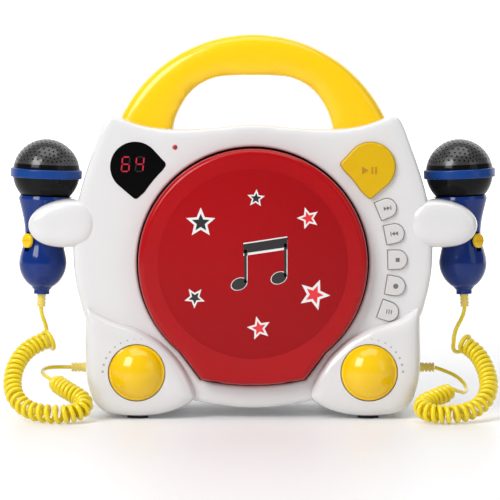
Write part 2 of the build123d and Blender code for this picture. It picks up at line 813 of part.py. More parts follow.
with BuildPart() as drive_chassis:
    add(block_at((drive_x, rod_ends[1] + 2 * rod_radius), drive_z, drive_front, drive_back))
    add(cylinder_at(0, disc_centre_z, hub_stem + over, drive_front - over, drive_back + over),
        mode=Mode.SUBTRACT)
    add(block_at(sled_slot_x, sled_slot_z, drive_front - over, drive_back + over), mode=Mode.SUBTRACT)
    block_half, block_high, block_deep = rod_block
    for z in rod_heights:
        for x in rod_ends:
            add(block_at((x - block_half, x + block_half), (z - block_high, z + block_high),
                         drive_back - sink, rod_y + block_deep))
        with BuildSketch(Plane.YZ.offset(rod_ends[0] - block_half - sink)):
            with Locations((rod_y, z)):
                Circle(rod_radius + snug)
        extrude(amount=rod_ends[1] - rod_ends[0] + 2 * (block_half + sink), mode=Mode.SUBTRACT)
    bracket_half, bracket_low, bracket_high = motor_bracket
    bracket_z = (gear_z - bracket_low, gear_z + bracket_high)
    for x in (gear_x - bracket_half, gear_x + bracket_half):
        add(block_at((x - motor_plate / 2, x + motor_plate / 2), bracket_z, drive_back - sink,
                     motor_mount_y + motor_plate))
    add(block_at((gear_x - bracket_half, gear_x + bracket_half), bracket_z, motor_mount_y,
                 motor_mount_y + motor_plate))
    add(cylinder_at(gear_x, gear_z, 2 * gear_shaft, motor_mount_y - over, motor_mount_y + motor_plate + over),
        mode=Mode.SUBTRACT)
save(drive_chassis.part, "drive_chassis")

with BuildPart() as guide_rods:
    for z in rod_heights:
        with BuildSketch(Plane.YZ.offset(rod_ends[0] - block_half)):
            with Locations((rod_y, z)):
                Circle(rod_radius)
        extrude(amount=rod_ends[1] - rod_ends[0] + 2 * block_half)
save(guide_rods.part, "guide_rods")

with BuildPart() as spindle_motor:
    add(cylinder_at(0, disc_centre_z, spindle_motor_size[0], drive_back, drive_back + spindle_motor_size[1]))
    add(cylinder_at(0, disc_centre_z, spindle_radius + play_fit, drive_back - over,
                    drive_back + spindle_reach + sink), mode=Mode.SUBTRACT)
save(spindle_motor.part, "spindle_motor")

with BuildPart() as turntable:
    add(cylinder_at(0, disc_centre_z, table_radius, table_front, table_front + table_edge))
    add(cylinder_at(0, disc_centre_z, hub_radius, table_front - hub_height, table_front))
    nose = turntable.faces().sort_by(Axis.Y)[0]
    chamfer(nose.edges(), hub_chamfer)
    add(cylinder_at(0, disc_centre_z, hub_stem, table_front + table_edge - sink, bay_floor - sink))
    add(cylinder_at(0, disc_centre_z, spindle_radius, bay_floor - over, drive_back + spindle_reach))
save(turntable.part, "turntable")

with BuildPart() as pickup_sled:
    lens_x = sled_x + sled_length / 2
    sled_ends = (sled_x, sled_x + sled_length)
    sled_face = bay_floor - sled_front
    add(block_at(sled_ends, (disc_centre_z - sled_half, disc_centre_z + sled_half), sled_face, rod_y))
    add(block_at(sled_ends, (rack_pitch_z + over, disc_centre_z + rod_offset + sled_edge),
                 rod_y - sled_plate[0], rod_y + sled_plate[1]))
    add(cylinder_at(lens_x, disc_centre_z, lens[0], sled_face - lens[1], sled_face + sink))
    rack_range = (gear_x - sled_travel - rack_end, gear_x + rack_end)
    add(block_at(rack_range, (rack_pitch_z + gear_module * rack_root - snug, rack_pitch_z + rack_height),
                 *gear_y))
    for z in rod_heights:
        with BuildSketch(Plane.YZ.offset(sled_x - over)):
            with Locations((rod_y, z)):
                Circle(rod_radius + play_fit)
        extrude(amount=sled_length + 2 * over, mode=Mode.SUBTRACT)
    with BuildSketch(at_depth(gear_y[1])):
        half = (tooth_pitch / 2 - backlash) / 2
        flank = tan(radians(20))
        for step in range(int(sled_travel / tooth_pitch) + 2):
            x = gear_x + (0.5 - step) * tooth_pitch
            top, root = gear_module * addendum, gear_module * rack_root
            with BuildLine():
                Polyline((x - half + top * flank, rack_pitch_z - top),
                         (x + half - top * flank, rack_pitch_z - top),
                         (x + half + root * flank, rack_pitch_z + root),
                         (x - half - root * flank, rack_pitch_z + root), close=True)
            make_face()
    extrude(amount=gear_width)
save(pickup_sled.part, "pickup_sled")

with BuildSketch() as gear_tooth:
    with BuildLine():
        half = (tooth_pitch / 2 - backlash) / 2
        tip, root = pitch_radius + gear_module * addendum, pitch_radius - gear_module * gear_root
        Polyline((root, -half * 1.55), (pitch_radius, -half), (tip, -half * 0.42),
                 (tip, half * 0.42), (pitch_radius, half), (root, half * 1.55), close=True)
    make_face()

with BuildPart() as sled_gear:
    with BuildSketch(Plane(origin=(gear_x, gear_y[1], gear_z), z_dir=(0, -1, 0), x_dir=(1, 0, 0))):
        Circle(pitch_radius - gear_module * gear_body)
        with PolarLocations(0, gear_teeth, start_angle=90):
            add(gear_tooth.sketch)
    extrude(amount=gear_width)
    add(cylinder_at(gear_x, gear_z, gear_shaft, gear_y[1] - over, motor_mount_y + gear_shaft_reach))
save(sled_gear.part, "sled_gear")

with BuildPart() as sled_motor:
    motor_front = motor_mount_y + motor_plate
    add(cylinder_at(gear_x, gear_z, motor_radius, motor_front, motor_front + motor_length))
    add(cylinder_at(gear_x, gear_z, gear_shaft + play_fit, motor_front - over,
                    motor_mount_y + gear_shaft_reach + over), mode=Mode.SUBTRACT)
save(sled_motor.part, "sled_motor")


# ---------------------------------------------------------------- boards, speaker, power
with BuildPart() as main_board:
    add(block_at((-main_board_x, main_board_x), main_board_z, main_board_front, main_board_front + board))
    for x, z, w, h, d in ((-30, 120, 16, 16, 2), (10, 112, 12, 12, 2), (-8, 165, 22, 10, 9),
                          (36, 150, 10, 10, 14), (-45, 160, 10, 10, 14), (52, 110, 14, 8, 7)):
        add(block_at((x - w / 2, x + w / 2), (z - h / 2, z + h / 2), main_board_front - d, main_board_front))
save(main_board.part, "main_board")

with BuildPart() as speaker:
    x, z = speaker_at
    with BuildSketch(Plane.XY.offset(z)):
        with BuildLine():
            magnet_front = inner_back - speaker_depth
            back_of_cone, *front_of_cone = [(r, inner_back - depth) for r, depth in cone]
            Polyline((0, magnet_front), (magnet[0], magnet_front), (magnet[0], magnet_front + magnet[1]),
                     back_of_cone, (speaker_radius, inner_back - speaker_rim),
                     (speaker_radius, inner_back), *front_of_cone, close=True)
        make_face()
    revolve(axis=Axis((0, 0, z), (0, 1, 0)))
save(speaker.part, "speaker")

door_front = inner_back + door_fit
battery_cavity_x = battery_box_x - battery_wall
battery_cavity_z = (battery_box_z[0] + battery_wall, battery_box_z[1] - battery_wall)

with BuildPart() as battery_box:
    add(block_at((-battery_box_x, battery_box_x), battery_box_z, battery_box_front, inner_back))
    add(block_at((-battery_mouth_x, battery_mouth_x), battery_mouth_z, inner_back - battery_rim,
                 inner_back + over), mode=Mode.SUBTRACT)
    add(block_at((-battery_cavity_x, battery_cavity_x), battery_cavity_z,
                 battery_box_front + battery_floor, inner_back + over), mode=Mode.SUBTRACT)
save(battery_box.part, "battery_box")

with BuildPart() as battery_contacts:
    for side in (-1, 1):
        for z in (battery_cavity_z[0] + contact_margin, battery_cavity_z[1] - contact_margin):
            thick, high, near, far = contact
            edges = sorted((side * battery_cavity_x, side * (battery_cavity_x - thick)))
            add(block_at(edges, (z - high, z + high), battery_box_front + near, battery_box_front + far))
save(battery_contacts.part, "battery_contacts")

with BuildPart() as battery_door:
    add(block_at((-battery_mouth_x + loose, battery_mouth_x - loose),
                 (battery_mouth_z[0] + door_gap, battery_mouth_z[1] - loose), door_front, casing_back))
    hinge_edges = battery_door.edges().filter_by(Axis.X).group_by(Axis.Z)[0]
    fillet(hinge_edges, (casing_back - door_front) / 2 - flat_left)
    half, high, pitch, below, deep = door_grip
    for row in range(*door_grips):
        z = battery_mouth_z[1] - below + pitch * row
        add(block_at((-half, half), (z, z + high), casing_back - deep, casing_back + over),
            mode=Mode.SUBTRACT)
save(battery_door.part, "battery_door")

with BuildPart() as dc_jack:
    x, z = jack_at
    add(block_at((x - jack_half, x + jack_half), (z - jack_half, z + jack_half), inner_back - jack_body,
                 inner_back))
    add(cylinder_at(x, z, jack_collar, inner_back - over, casing_back - sink))
    add(cylinder_at(x, z, jack_radius, inner_back - jack_bore, casing_back), mode=Mode.SUBTRACT)
    add(cylinder_at(x, z, jack_pin, inner_back - jack_bore - over, casing_back - 2 * over))
save(dc_jack.part, "dc_jack")


# ---------------------------------------------------------------- microphones
def mic_plane(side):
    """The mic's own frame: origin at the head's centre, z along its axis."""
    lean = radians(mic_lean)
    return Plane(origin=(side * mic_x, mic_y, mic_z), z_dir=(-side * sin(lean), 0, cos(lean)),
                 x_dir=(cos(lean), 0, side * sin(lean)))


def place(part, side):
    return mic_plane(side).location * part


def grip_profile(extra=0):
    """Outline of the mic's grip on one side of its axis, from the collar down."""
    rim = [(collar_radius - collar_lip[0], head_base), (collar_radius, head_base - collar_lip[1])]
    return [(r + extra, z) for r, z in (*rim, collar_end, waist, swell, bulb, tail, tail_end)]


def grip_solid(extra=0):
    with BuildPart() as grip:
        with BuildSketch(Plane.XZ):
            with BuildLine():
                points = grip_profile(extra)
                Line((0, head_base), points[0])
                Line(points[0], points[1])
                Spline(*points[1:])
                nozzle = nozzle_radius + extra
                Line(points[-1], (nozzle, nozzle_start))
                Line((nozzle, nozzle_start), (nozzle, nozzle_end))
                Line((nozzle, nozzle_end), (0, nozzle_end))
                Line((0, nozzle_end), (0, head_base))
            make_face()
        revolve(axis=Axis.Z)
    return grip.part


def outward_cut(side):
    """Room for the grip at rest and along its way out, square to its axis."""
    with BuildPart() as cut:
        add(grip_solid(slot_clearance))
        with BuildSketch(Plane.YZ):
            with BuildLine():
                right = grip_profile(slot_clearance)
                left = [(-r, z) for r, z in right]
                Line(left[0], right[0])
                Line(right[0], right[1])
                Spline(*right[1:])
                Line(right[-1], left[-1])
                Spline(*reversed(left[1:]))
                Line(left[1], left[0])
            make_face()
        extrude(amount=side * slot_reach)
    return cut.part


def switch_frame(side):
    """Plane across the mic's axis at the switch, its x pointing out of the surface."""
    turn = radians(switch_angle)
    return Plane(origin=(0, 0, switch_z), z_dir=(0, 0, 1), x_dir=(side * sin(turn), -cos(turn), 0))


def switch_block(side, inner, outer, width, length):
    with BuildPart() as block:
        with BuildSketch(switch_frame(side).offset(-length / 2)):
            with Locations(((inner + outer) / 2, 0)):
                Rectangle(outer - inner, width)
        extrude(amount=length)
    return block.part


for side, hand in ((-1, "left"), (1, "right")):
    with BuildPart() as mic_head:
        with BuildSketch(Plane.XZ):
            with BuildLine():
                inner = head_radius - head_wall
                rim = (head_radius**2 - head_base**2) ** 0.5
                inner_rim = (inner**2 - head_base**2) ** 0.5
                ThreePointArc((rim, head_base), (head_radius, 0), (0, head_radius))
                Line((0, head_radius), (0, inner))
                ThreePointArc((0, inner), (inner, 0), (inner_rim, head_base))
                Line((inner_rim, head_base), (rim, head_base))
            make_face()
        revolve(axis=Axis.Z)
    save(place(mic_head.part, side), f"mic_head_{hand}")

    with BuildPart() as mic_band:
        with BuildSketch(Plane.XY.offset(band_low)):
            Circle(band_radius)
            Circle(head_radius + snug, mode=Mode.SUBTRACT)
        extrude(amount=band_high - band_low)
        rims = mic_band.edges().filter_by(GeomType.CIRCLE).group_by(SortBy.RADIUS)[-1]
        fillet(rims, band_round)
    save(place(mic_band.part, side), f"mic_band_{hand}")

    with BuildPart() as mic_grip:
        add(grip_solid())
        with BuildSketch(Plane.XY.offset(head_base)):
            Circle(waist[0] - mic_wall)
        extrude(amount=-mic_bore, mode=Mode.SUBTRACT)
        add(switch_block(side, switch_floor, collar_radius, *switch_slot), mode=Mode.SUBTRACT)
    save(place(mic_grip.part, side), f"mic_grip_{hand}")

    with BuildPart() as mic_switch:
        add(switch_block(side, switch_floor + window_fit, waist[0] + switch_proud,
                         switch_slot[0] - switch_fit, switch_length))
    save(place(mic_switch.part, side), f"mic_switch_{hand}")

    with BuildPart() as mic_relief:
        with BuildSketch(Plane.XY.offset(nozzle_end)):
            Circle(relief_radius)
        extrude(amount=-relief_length)
        first, pitch, width, inside, outside = relief_ring
        for ring in range(relief_rings):
            with BuildSketch(Plane.XY.offset(nozzle_end - first - pitch * ring)):
                Circle(outside)
                Circle(inside, mode=Mode.SUBTRACT)
            extrude(amount=-width, mode=Mode.SUBTRACT)
    save(place(mic_relief.part, side), f"mic_relief_{hand}")

    with BuildPart() as mic_holder:
        with BuildSketch(at_depth(arm_back)):
            radius = (arm_high - arm_low) / 2
            for x in (arm_tip - radius, arm_root + radius):
                with Locations((side * x, (arm_low + arm_high) / 2)):
                    Circle(radius)
            make_hull()
        extrude(amount=arm_back - arm_front)
        ends = mic_holder.faces().filter_by(Axis.Y)
        fillet([e for face in ends for e in face.outer_wire().edges()], arm_round)
        add(casing_solid, mode=Mode.SUBTRACT)
        add(place(outward_cut(side), side), mode=Mode.SUBTRACT)
    save(mic_holder.part, f"mic_holder_{hand}")

    with BuildPart() as cord_relief:
        with BuildSketch(Plane.YZ.offset(side * (cord_exit_x - cord_relief_depth))):
            with Locations((0, cord_exit_z)):
                Circle(cord_relief_radius)
        extrude(amount=side * cord_relief_depth)
        for ring in range(relief_rings):
            with BuildSketch(Plane.YZ.offset(side * (cord_exit_x - first - pitch * ring))):
                with Locations((0, cord_exit_z)):
                    Circle(outside)
                    Circle(inside, mode=Mode.SUBTRACT)
            extrude(amount=side * width, mode=Mode.SUBTRACT)
    save(cord_relief.part, f"cord_relief_{hand}")


# ---------------------------------------------------------------- curly cords
def arc_radii(points):
    """Each corner's radius: a share of its shorter run over the tangent of half the turn."""
    radii = []
    for before, here, after in zip(points, points[1:], points[2:]):
        inward, outward = Vector(*here) - Vector(*before), Vector(*after) - Vector(*here)
        turn = radians(inward.get_angle(outward))
        radii.append(corner_share * min(inward.length, outward.length) / tan(turn / 2))
    return radii


def tube(points, diameter):
    radii = arc_radii(points)
    print("radii", [round(r, 1) for r in radii])
    with BuildPart() as hose:
        with BuildLine() as path:
            FilletPolyline(*points, radius=radii)
        with BuildSketch(Plane(origin=path.line @ 0, z_dir=path.line % 0)):
            Circle(diameter / 2)
        sweep(path=path.line)
    length = sum(edge.length for edge in path.edges())
    print("volume ratio", round(hose.part.volume / (pi * diameter**2 / 4 * length), 4))
    return hose.part


for side, hand, coil, lead in ((-1, "left", left_coil, left_lead), (1, "right", right_coil, right_lead)):
    save(tube(coil, coil_outer), f"cord_coil_{hand}")
    lower = [Vector(*p) for p in lead]
    last = lower[-1] + Vector(side * lead_gap, 0, 0)
    save(tube([tuple(p) for p in lower[:-1]] + [tuple(last)], wire), f"cord_lead_{hand}")
    top = mic_plane(side).location * Location((0, 0, nozzle_end - relief_length - lead_gap))
    with BuildPart() as mic_lead:
        with BuildSketch(Plane(top)):
            Circle(wire / 2)
        extrude(amount=-mic_lead_length)
    save(mic_lead.part, f"cord_mic_lead_{hand}")
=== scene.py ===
"""Looks of a karaoke disc player, built over its CAD frame.

Everything is in metres, X to the right seen from the front, Z up, and the front faces -Y.
Outlines are listed in millimetres, as (x, z) seen from the front.
"""

from contextlib import contextmanager
from math import asin, atan2, cos, degrees, hypot, pi, radians, sin

import bmesh
import bpy
from bpy.props import FloatProperty, FloatVectorProperty, IntProperty, PointerProperty
from mathutils import Matrix, Vector
from mathutils.kdtree import KDTree


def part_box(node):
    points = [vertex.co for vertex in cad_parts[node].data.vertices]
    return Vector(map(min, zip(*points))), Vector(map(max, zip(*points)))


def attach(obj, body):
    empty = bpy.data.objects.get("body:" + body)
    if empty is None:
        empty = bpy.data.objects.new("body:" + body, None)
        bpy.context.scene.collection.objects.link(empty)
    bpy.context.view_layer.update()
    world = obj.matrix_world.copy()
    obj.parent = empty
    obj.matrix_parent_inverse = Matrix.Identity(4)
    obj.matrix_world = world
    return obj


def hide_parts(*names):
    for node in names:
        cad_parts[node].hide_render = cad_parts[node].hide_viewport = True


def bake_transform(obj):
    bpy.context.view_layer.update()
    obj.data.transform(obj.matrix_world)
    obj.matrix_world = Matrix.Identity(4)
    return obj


bl_info = {
    "name": "Karaoke Disc Player",
    "version": (1, 0, 0),
    "blender": (4, 5, 0),
    "location": "View3D > Sidebar > Disc Player",
    "description": "Builds the casing, lid, handle, microphones and curly cords of a disc player",
    "category": "Object",
}

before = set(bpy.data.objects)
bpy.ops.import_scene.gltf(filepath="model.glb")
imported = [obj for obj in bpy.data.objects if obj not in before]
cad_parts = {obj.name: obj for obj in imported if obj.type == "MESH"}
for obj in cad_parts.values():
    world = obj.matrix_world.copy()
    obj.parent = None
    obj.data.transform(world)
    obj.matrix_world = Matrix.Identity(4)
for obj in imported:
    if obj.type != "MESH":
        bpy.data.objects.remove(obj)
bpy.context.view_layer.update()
MM = 0.001
SIDES = ((-1, "left"), (1, "right"))
PAST = 0.01                                  # how far a cutter runs on past a surface, in metres
OBJECT_MIDDLE = (0, 0, 0.12)                 # what the softboxes are turned towards, in metres


# ---------------------------------------------------------------- places taken from the frame
def middle_of(node):
    """The middle of a node's box, in millimetres."""
    low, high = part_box(node)
    return (low + high) / 2 / MM


LID_RADIUS = 75
lid_low, lid_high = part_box("lid")
window_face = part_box("display_window")[0].y
play_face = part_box("play_button")[0].y
handle_low, handle_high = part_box("carry_handle")
disc_centre_z = lid_high.z / MM - LID_RADIUS
knob_x, _, knob_z = middle_of("mic_volume_knob")

# ---------------------------------------------------------------- outlines and routes, in millimetres
CASING_HALF = [
    (0, 191.8), (24, 189.6), (46, 188.4), (62, 188.9), (76, 191.6), (87, 195.8), (94.4, 197.2),
    (98.6, 191), (103, 179.5), (108.8, 163), (114.4, 144), (117.5, 125), (118.3, 108),
    (117, 92), (114, 78), (109.4, 64), (98, 44), (78, 26), (58, 17), (38.7, 11.3), (18, 7.6), (0, 6.5),
]
FOOT_OUTLINE = [
    (110, 76), (104, 70), (92.1, 64.2), (76.5, 60), (61, 51.5), (50.5, 41.2), (42.8, 29), (36.5, 13.2),
    (50.5, 5.6), (64, 2), (76.5, 1.5), (92.1, 2.3), (100, 4.6), (106.4, 12.4), (110.1, 27), (110.6, 39.2),
    (110, 57.9),
]
HOLDER_OUTLINE = [
    (112, 144.6), (122, 144.8), (132, 143), (140.5, 139.6), (146.6, 134.2), (149, 128.4), (147.6, 121.6),
    (143, 116.2), (134.5, 112.6), (124, 111.8), (112, 112.4), (104.6, 116.6), (102, 123), (101.4, 130),
    (103, 138),
]
HANDLE_INSIDE = [
    (55.6, 176), (54.5, 184), (51.5, 199), (42.8, 214.3), (31.4, 222.9), (18, 226.3),
    (-18, 226.3), (-31.4, 222.9), (-42.8, 214.3), (-51.5, 199), (-54.5, 184), (-55.6, 176),
]
HANDLE_REACH, HANDLE_FOOT_Z = 90, 183.8      # where the handle's outer arc meets the casing
HANDLE_SUNK = 8                              # how far the arc's ends reach into the casing
HANDLE_SPARE = 2.6                           # what the smoothing takes off outside
HANDLE_NARROWER, HANDLE_LOWER = 0.985, 0.5   # what it takes off inside: a share of X, and off Z
LID_TAB_START = (47.6, 44.74)                # where the lid's tab leaves its circle
LID_TAB_CORNER = (34, 26.8)                  # the tab's lower corner
LID_FOOT_Z = 22.9                            # the lowest point of the tab's foot
SHIELD_ROUNDS = [(77.1, 165.8, 16.4), (59.6, 167.3, 2.5), (76.8, 147.3, 2.5)]    # x, z, radius
SHIELD_HOLLOW = 84.8                         # radius of the side that follows the lid
KEY_ARC = 94.9                               # radius of the line that the keys lie on
KEY_ANGLES = [22.3 - 10.5 * i for i in range(5)]
KEY_HALF = 6.5                               # half the height of a key
CASING_SCREWS = [(86, 187), (109.5, 88)]     # on the right, mirrored on the left
FOOT_SCREW = (60, 13)
SCREW_RADIUS, JACK_RADIUS, KNOB_BORE = 3.3, 4.5, 4.5              # of the holes for them
DOOR_GAP = 0.3                               # round the battery door
WAY_OUT = 0.06                               # length of a microphone's way out of its holder, in metres
SPEAKER_RADIUS, SLOT_PITCH, SLOT_RADIUS = 33, 6, 1.5              # of the slots over the speaker
MIC_PROFILE = [                              # radius and height below the head's centre
    (17.2, -15.5), (17.7, -17.5), (15, -27), (12.7, -41.2), (13.4, -48), (15.8, -60), (13, -70),
    (7.2, -76), (5.2, -78.5), (5.2, -81),
]
# from the microphone down to the casing, -1 for the left cord and 1 for the right
COIL_ROUTES = {
    -1: [(-134.5, -11, 50), (-145.5, -16, 46.5), (-153.5, -25, 40), (-158, -35, 31), (-158.5, -45, 20),
         (-153, -55, 11.5), (-143.5, -63.5, 7), (-132, -69.5, 6.4), (-120.5, -72, 6.4),
         (-110.7, -67.5, 8.4), (-109.8, -58.2, 13.6), (-118.2, -49.5, 17.4), (-126.5, -38, 20.5),
         (-133, -26, 23.5)],
    1: [(139, -9, 47.5), (147, -15.5, 43), (152, -24, 36.5), (155, -34, 28.5), (155.5, -44, 20.5),
        (152, -54, 13.5), (145, -62.5, 8.8), (136, -69.5, 6.8), (125.5, -73.5, 6.4),
        (114.5, -72, 6.9), (109.4, -64.5, 9.8), (113, -56, 13), (123, -47, 15.5), (133, -36.5, 18.5)],
}
LEAD_ROUTES = {
    -1: [(-133, -26, 23.5), (-140, -16, 26), (-141.5, -4, 28.5), (-134, 3, 29.5), (-121.7, 0, 29.5)],
    1: [(133, -36.5, 18.5), (139, -27.5, 15), (143, -17, 15.5), (141.5, -7, 20), (134, -0.5, 25.5),
        (121.7, 0, 29.5)],
}
OPEN_STRETCH = (0.36, 0.62)                  # the share of each coil where its curls are drawn apart
DROP_START, DROP_END = 5, 7                  # straight runs below the microphone and over the first curl
ROUTE_STEP = 0.001                           # between the points read from a route, in metres


# ---------------------------------------------------------------- settings
def length(name, description, default):
    return FloatProperty(name=name, description=description, default=default, unit="LENGTH")


def colour(name, description, default):
    return FloatVectorProperty(name=name, description=description, default=default, subtype="COLOR",
                               size=3, min=0, max=1)


class ShellSizes(bpy.types.PropertyGroup):
    half_width: length("Half width", "From the casing's middle to its side", 0.1183)
    base: length("Base", "Height of the casing's underside", 0.0065)
    top: length("Top", "Height of the casing's shoulders", 0.1988)
    front: length("Front", "Depth of the casing's front face", -0.042)
    back: length("Back", "Depth of the casing's back face", 0.058)
    seam: length("Seam", "Depth where the front and back shells meet", 0.006)
    seam_gap: length("Seam gap", "Width of the groove at the seam", 0.0004)
    wall: length("Wall", "Thickness of the shells", 0.0025)
    foot_front: length("Foot front", "Depth of the feet's front", -0.050)
    foot_back: length("Foot back", "Depth of the feet's back", 0.054)
    foot_base: length("Foot base", "Height of the feet's underside", 0.0015)
    foot_top: length("Foot top", "Height of the feet's tips", 0.0735)
    foot_inner: length("Foot inner side", "From the middle to a foot's near side", 0.0378)
    foot_outer: length("Foot outer side", "From the middle to a foot's far side", 0.1104)
    bore_end: length("Bore end", "Depth of the end of the knob's bore", -0.033)
    well_end: length("Well end", "Depth of the end of the screw's well in a foot", 0.0162)
    arm_front: length("Holder front", "Depth of the microphone holders' front", -0.044)
    arm_back: length("Holder back", "Depth of the microphone holders' back", 0.016)
    arm_base: length("Holder base", "Height of the holders' underside", 0.1122)
    arm_top: length("Holder top", "Height of the holders' upper side", 0.1442)
    arm_inner: length("Holder inner side", "From the middle to a holder's near side", 0.1022)
    arm_outer: length("Holder outer side", "From the middle to a holder's far side", 0.1478)
    voxel: length("Grain of the skin", "Edge of the cells that the soft shells are made of", 0.0018)
    arm_voxel: length("Grain of the holders", "The same for the microphone holders", 0.0016)
    casing_softness: IntProperty(name="Casing softness", description="Smoothing passes", default=28)
    foot_softness: IntProperty(name="Foot softness", description="Smoothing passes", default=90)
    arm_softness: IntProperty(name="Holder softness", description="Smoothing passes", default=110)
    handle_round: length("Handle rounding", "Rounding of the handle's edges", 0.007)
    handle_crown: length("Handle crown", "How far the soft handle stands over the plain one", 0.001)
    handle_softness: IntProperty(name="Handle softness", description="Smoothing passes", default=40)


class FrontSizes(bpy.types.PropertyGroup):
    lid_gap: length("Lid gap", "Gap between the lid and the casing", 0.0012)
    lid_brim: length("Lid brim", "Rounding of the casing round the lid", 0.0016)
    key_brim: length("Key brim", "Rounding of the casing round the keys", 0.0005)
    print_height: length("Print height", "How far a printed mark stands off its surface", 0.00012)
    cup_radius: length("Cup radius", "Radius of the cup round each volume knob", 0.0189)
    cup_floor: length("Cup floor", "Depth of the cup's floor", -0.0455)
    scale_radius: length("Scale radius", "From a knob's middle to the dots round it", 0.0222)
    lamp_radius: length("Lamp hole", "Radius of the lamp's hole", 0.00165)


class MicrophoneSizes(bpy.types.PropertyGroup):
    centre_x: length("Centre X", "Distance of the heads from the middle", 0.1376)
    centre_y: length("Centre Y", "Depth of the heads", -0.008)
    centre_z: length("Centre Z", "Height of the heads", 0.1606)
    lean: FloatProperty(name="Lean", description="Angle towards the casing", default=radians(2.5),
                        subtype="ANGLE")
    head_radius: length("Head radius", "Radius of the head", 0.0224)
    grille_wall: length("Grille wall", "Thickness of the perforated dome", 0.0007)
    grille_edge: length("Grille edge", "Height of the dome's lower edge", 0.0056)
    lowest_hole: length("Lowest hole", "Height over which the dome has holes", 0.0066)
    hole_radius: length("Hole radius", "Half the width of a hole in the dome", 0.00075)
    bowl_wall: length("Bowl wall", "Thickness of the bowl under the dome", 0.0012)
    bowl_foot: length("Bowl foot", "Height of the bowl's lower edge", -0.0155)
    bowl_rim: length("Bowl rim", "Height of the bowl's upper edge", 0.0058)
    foam_gap: length("Foam gap", "From the dome's outside to the foam in it", 0.0016)
    foam_foot: length("Foam foot", "Height of the foam's flat underside", -0.013)
    clearance: length("Clearance", "Gap between a microphone and its holder", 0.0006)
    switch_half_width: length("Switch half width", "From a switch's middle to its side", 0.0044)
    switch_half_height: length("Switch half height", "From a switch's middle to its end", 0.0048)
    switch_face: length("Switch face", "From the microphone's axis to its switch's face", 0.0167)
    switch_underside: length("Switch underside", "The same to the switch's underside", 0.0144)
    switch_round: length("Switch rounding", "Rounding of the switch's face", 0.0012)
    switch_groove: length("Switch groove", "From the axis to the floor of the switch's groove", 0.0161)
    switch_z: length("Switch height", "Height of the switch's middle", -0.0452)
    switch_turn: FloatProperty(name="Switch turn", description="From the front, outwards",
                               default=radians(41), subtype="ANGLE")
    cord_exit: length("Cord exit", "Height at which the cord leaves the microphone", -0.0895)


class CordSizes(bpy.types.PropertyGroup):
    wire: length("Wire", "Diameter of the cord", 0.0028)
    lead_wire: length("Lead wire", "Thickness of the straight leads", 0.0026)
    curl_wire: length("Curl wire", "Thickness of the wire in the curls", 0.0033)
    first_curl: FloatProperty(name="First curl", description="How much wider the first curl is",
                              default=0.8)
    opening: FloatProperty(name="Opening", description="Curls over which that width is lost", default=1.5)
    closing: FloatProperty(name="Closing", description="Curls that shrink towards the lead", default=2.2)
    spacing: length("Spacing", "Least distance between two rings of the wire", 0.0006)
    coil: length("Coil", "Outer diameter of the curls", 0.0125)
    pitch: length("Pitch", "Distance between two curls", 0.0041)
    open_pitch: length("Open pitch", "The same where the curls are drawn apart", 0.0056)
    curl_steps: IntProperty(name="Curl steps", description="Points in each curl", default=22)
    sides: IntProperty(name="Sides", description="Sides of the wire", default=10)


class Colours(bpy.types.PropertyGroup):
    shell: colour("Shell", "Casing, feet and holders", (0.77, 0.76, 0.76))
    handle: colour("Handle", "Handle and knobs", (1.0, 0.62, 0.001))
    play: colour("Play", "Play button", (0.74, 0.45, 0.002))
    lid: colour("Lid", "Disc lid", (0.42, 0.002, 0.005))
    grip: colour("Grip", "Microphone grips", (0.002, 0.026, 0.19))
    band: colour("Band", "Microphone bands", (0.001, 0.045, 0.24))
    cord: colour("Cord", "Curly cords", (0.9, 0.7, 0.0))
    key: colour("Key", "Small keys", (0.7, 0.68, 0.67))
    digit: colour("Digit", "Lit digits", (0.35, 0.003, 0.02))


class StudioSettings(bpy.types.PropertyGroup):
    distance: length("Distance", "From the camera to the object's middle", 2.0)
    height: length("Height", "Height of the camera", 0.245)
    sideways: length("Sideways", "The camera's place left of the middle", -0.0019)
    tilt: FloatProperty(name="Tilt", description="How far the camera looks down",
                        default=radians(3.91), subtype="ANGLE")
    focal: FloatProperty(name="Focal length", description="In millimetres", default=215.4)
    key_power: FloatProperty(name="Key light", description="In watts", default=27)
    fill_power: FloatProperty(name="Fill light", description="In watts", default=2.5)
    top_power: FloatProperty(name="Top light", description="In watts", default=10)
    sky: FloatProperty(name="Sky", description="Strength of the surroundings", default=0.24)
    floor_size: length("Floor size", "Side of the table top", 12)
    backdrop: length("Backdrop", "Height of the backdrop", 6)
    sweep: length("Sweep", "Rounding between the table top and the backdrop", 2.4)


# ---------------------------------------------------------------- handling of pieces
def clear_selection():
    if bpy.context.object and bpy.context.object.mode != "OBJECT":
        bpy.ops.object.mode_set(mode="OBJECT")
    bpy.ops.object.select_all(action="DESELECT")


def take(piece):
    """Select this piece alone and make it the active one."""
    clear_selection()
    piece.select_set(True)
    bpy.context.view_layer.objects.active = piece


@contextmanager
def editing(piece, selection="SELECT"):
    take(piece)
    bpy.ops.object.mode_set(mode="EDIT")
    bpy.ops.mesh.select_mode(type="VERT")
    bpy.ops.mesh.select_all(action=selection)
    yield bmesh.from_edit_mesh(piece.data)
    bpy.ops.object.mode_set(mode="OBJECT")


def named(name):
    """The active object, given its name."""
    piece = bpy.context.object
    piece.name = piece.data.name = name
    return piece


def settle(piece):
    """Put the piece's place, turn and scale into its mesh."""
    take(piece)
    bpy.ops.object.transform_apply(location=True, rotation=True, scale=True)
    return piece


def placed(piece, matrix):
    """Move the piece there and put that into its mesh."""
    piece.matrix_world = matrix
    return settle(piece)


def pick(cells, piece, test):
    """Select the corners that pass this test, and what lies between them."""
    for vertex in cells.verts:
        vertex.select = test(vertex)
    cells.select_flush_mode()
    bmesh.update_edit_mesh(piece.data)


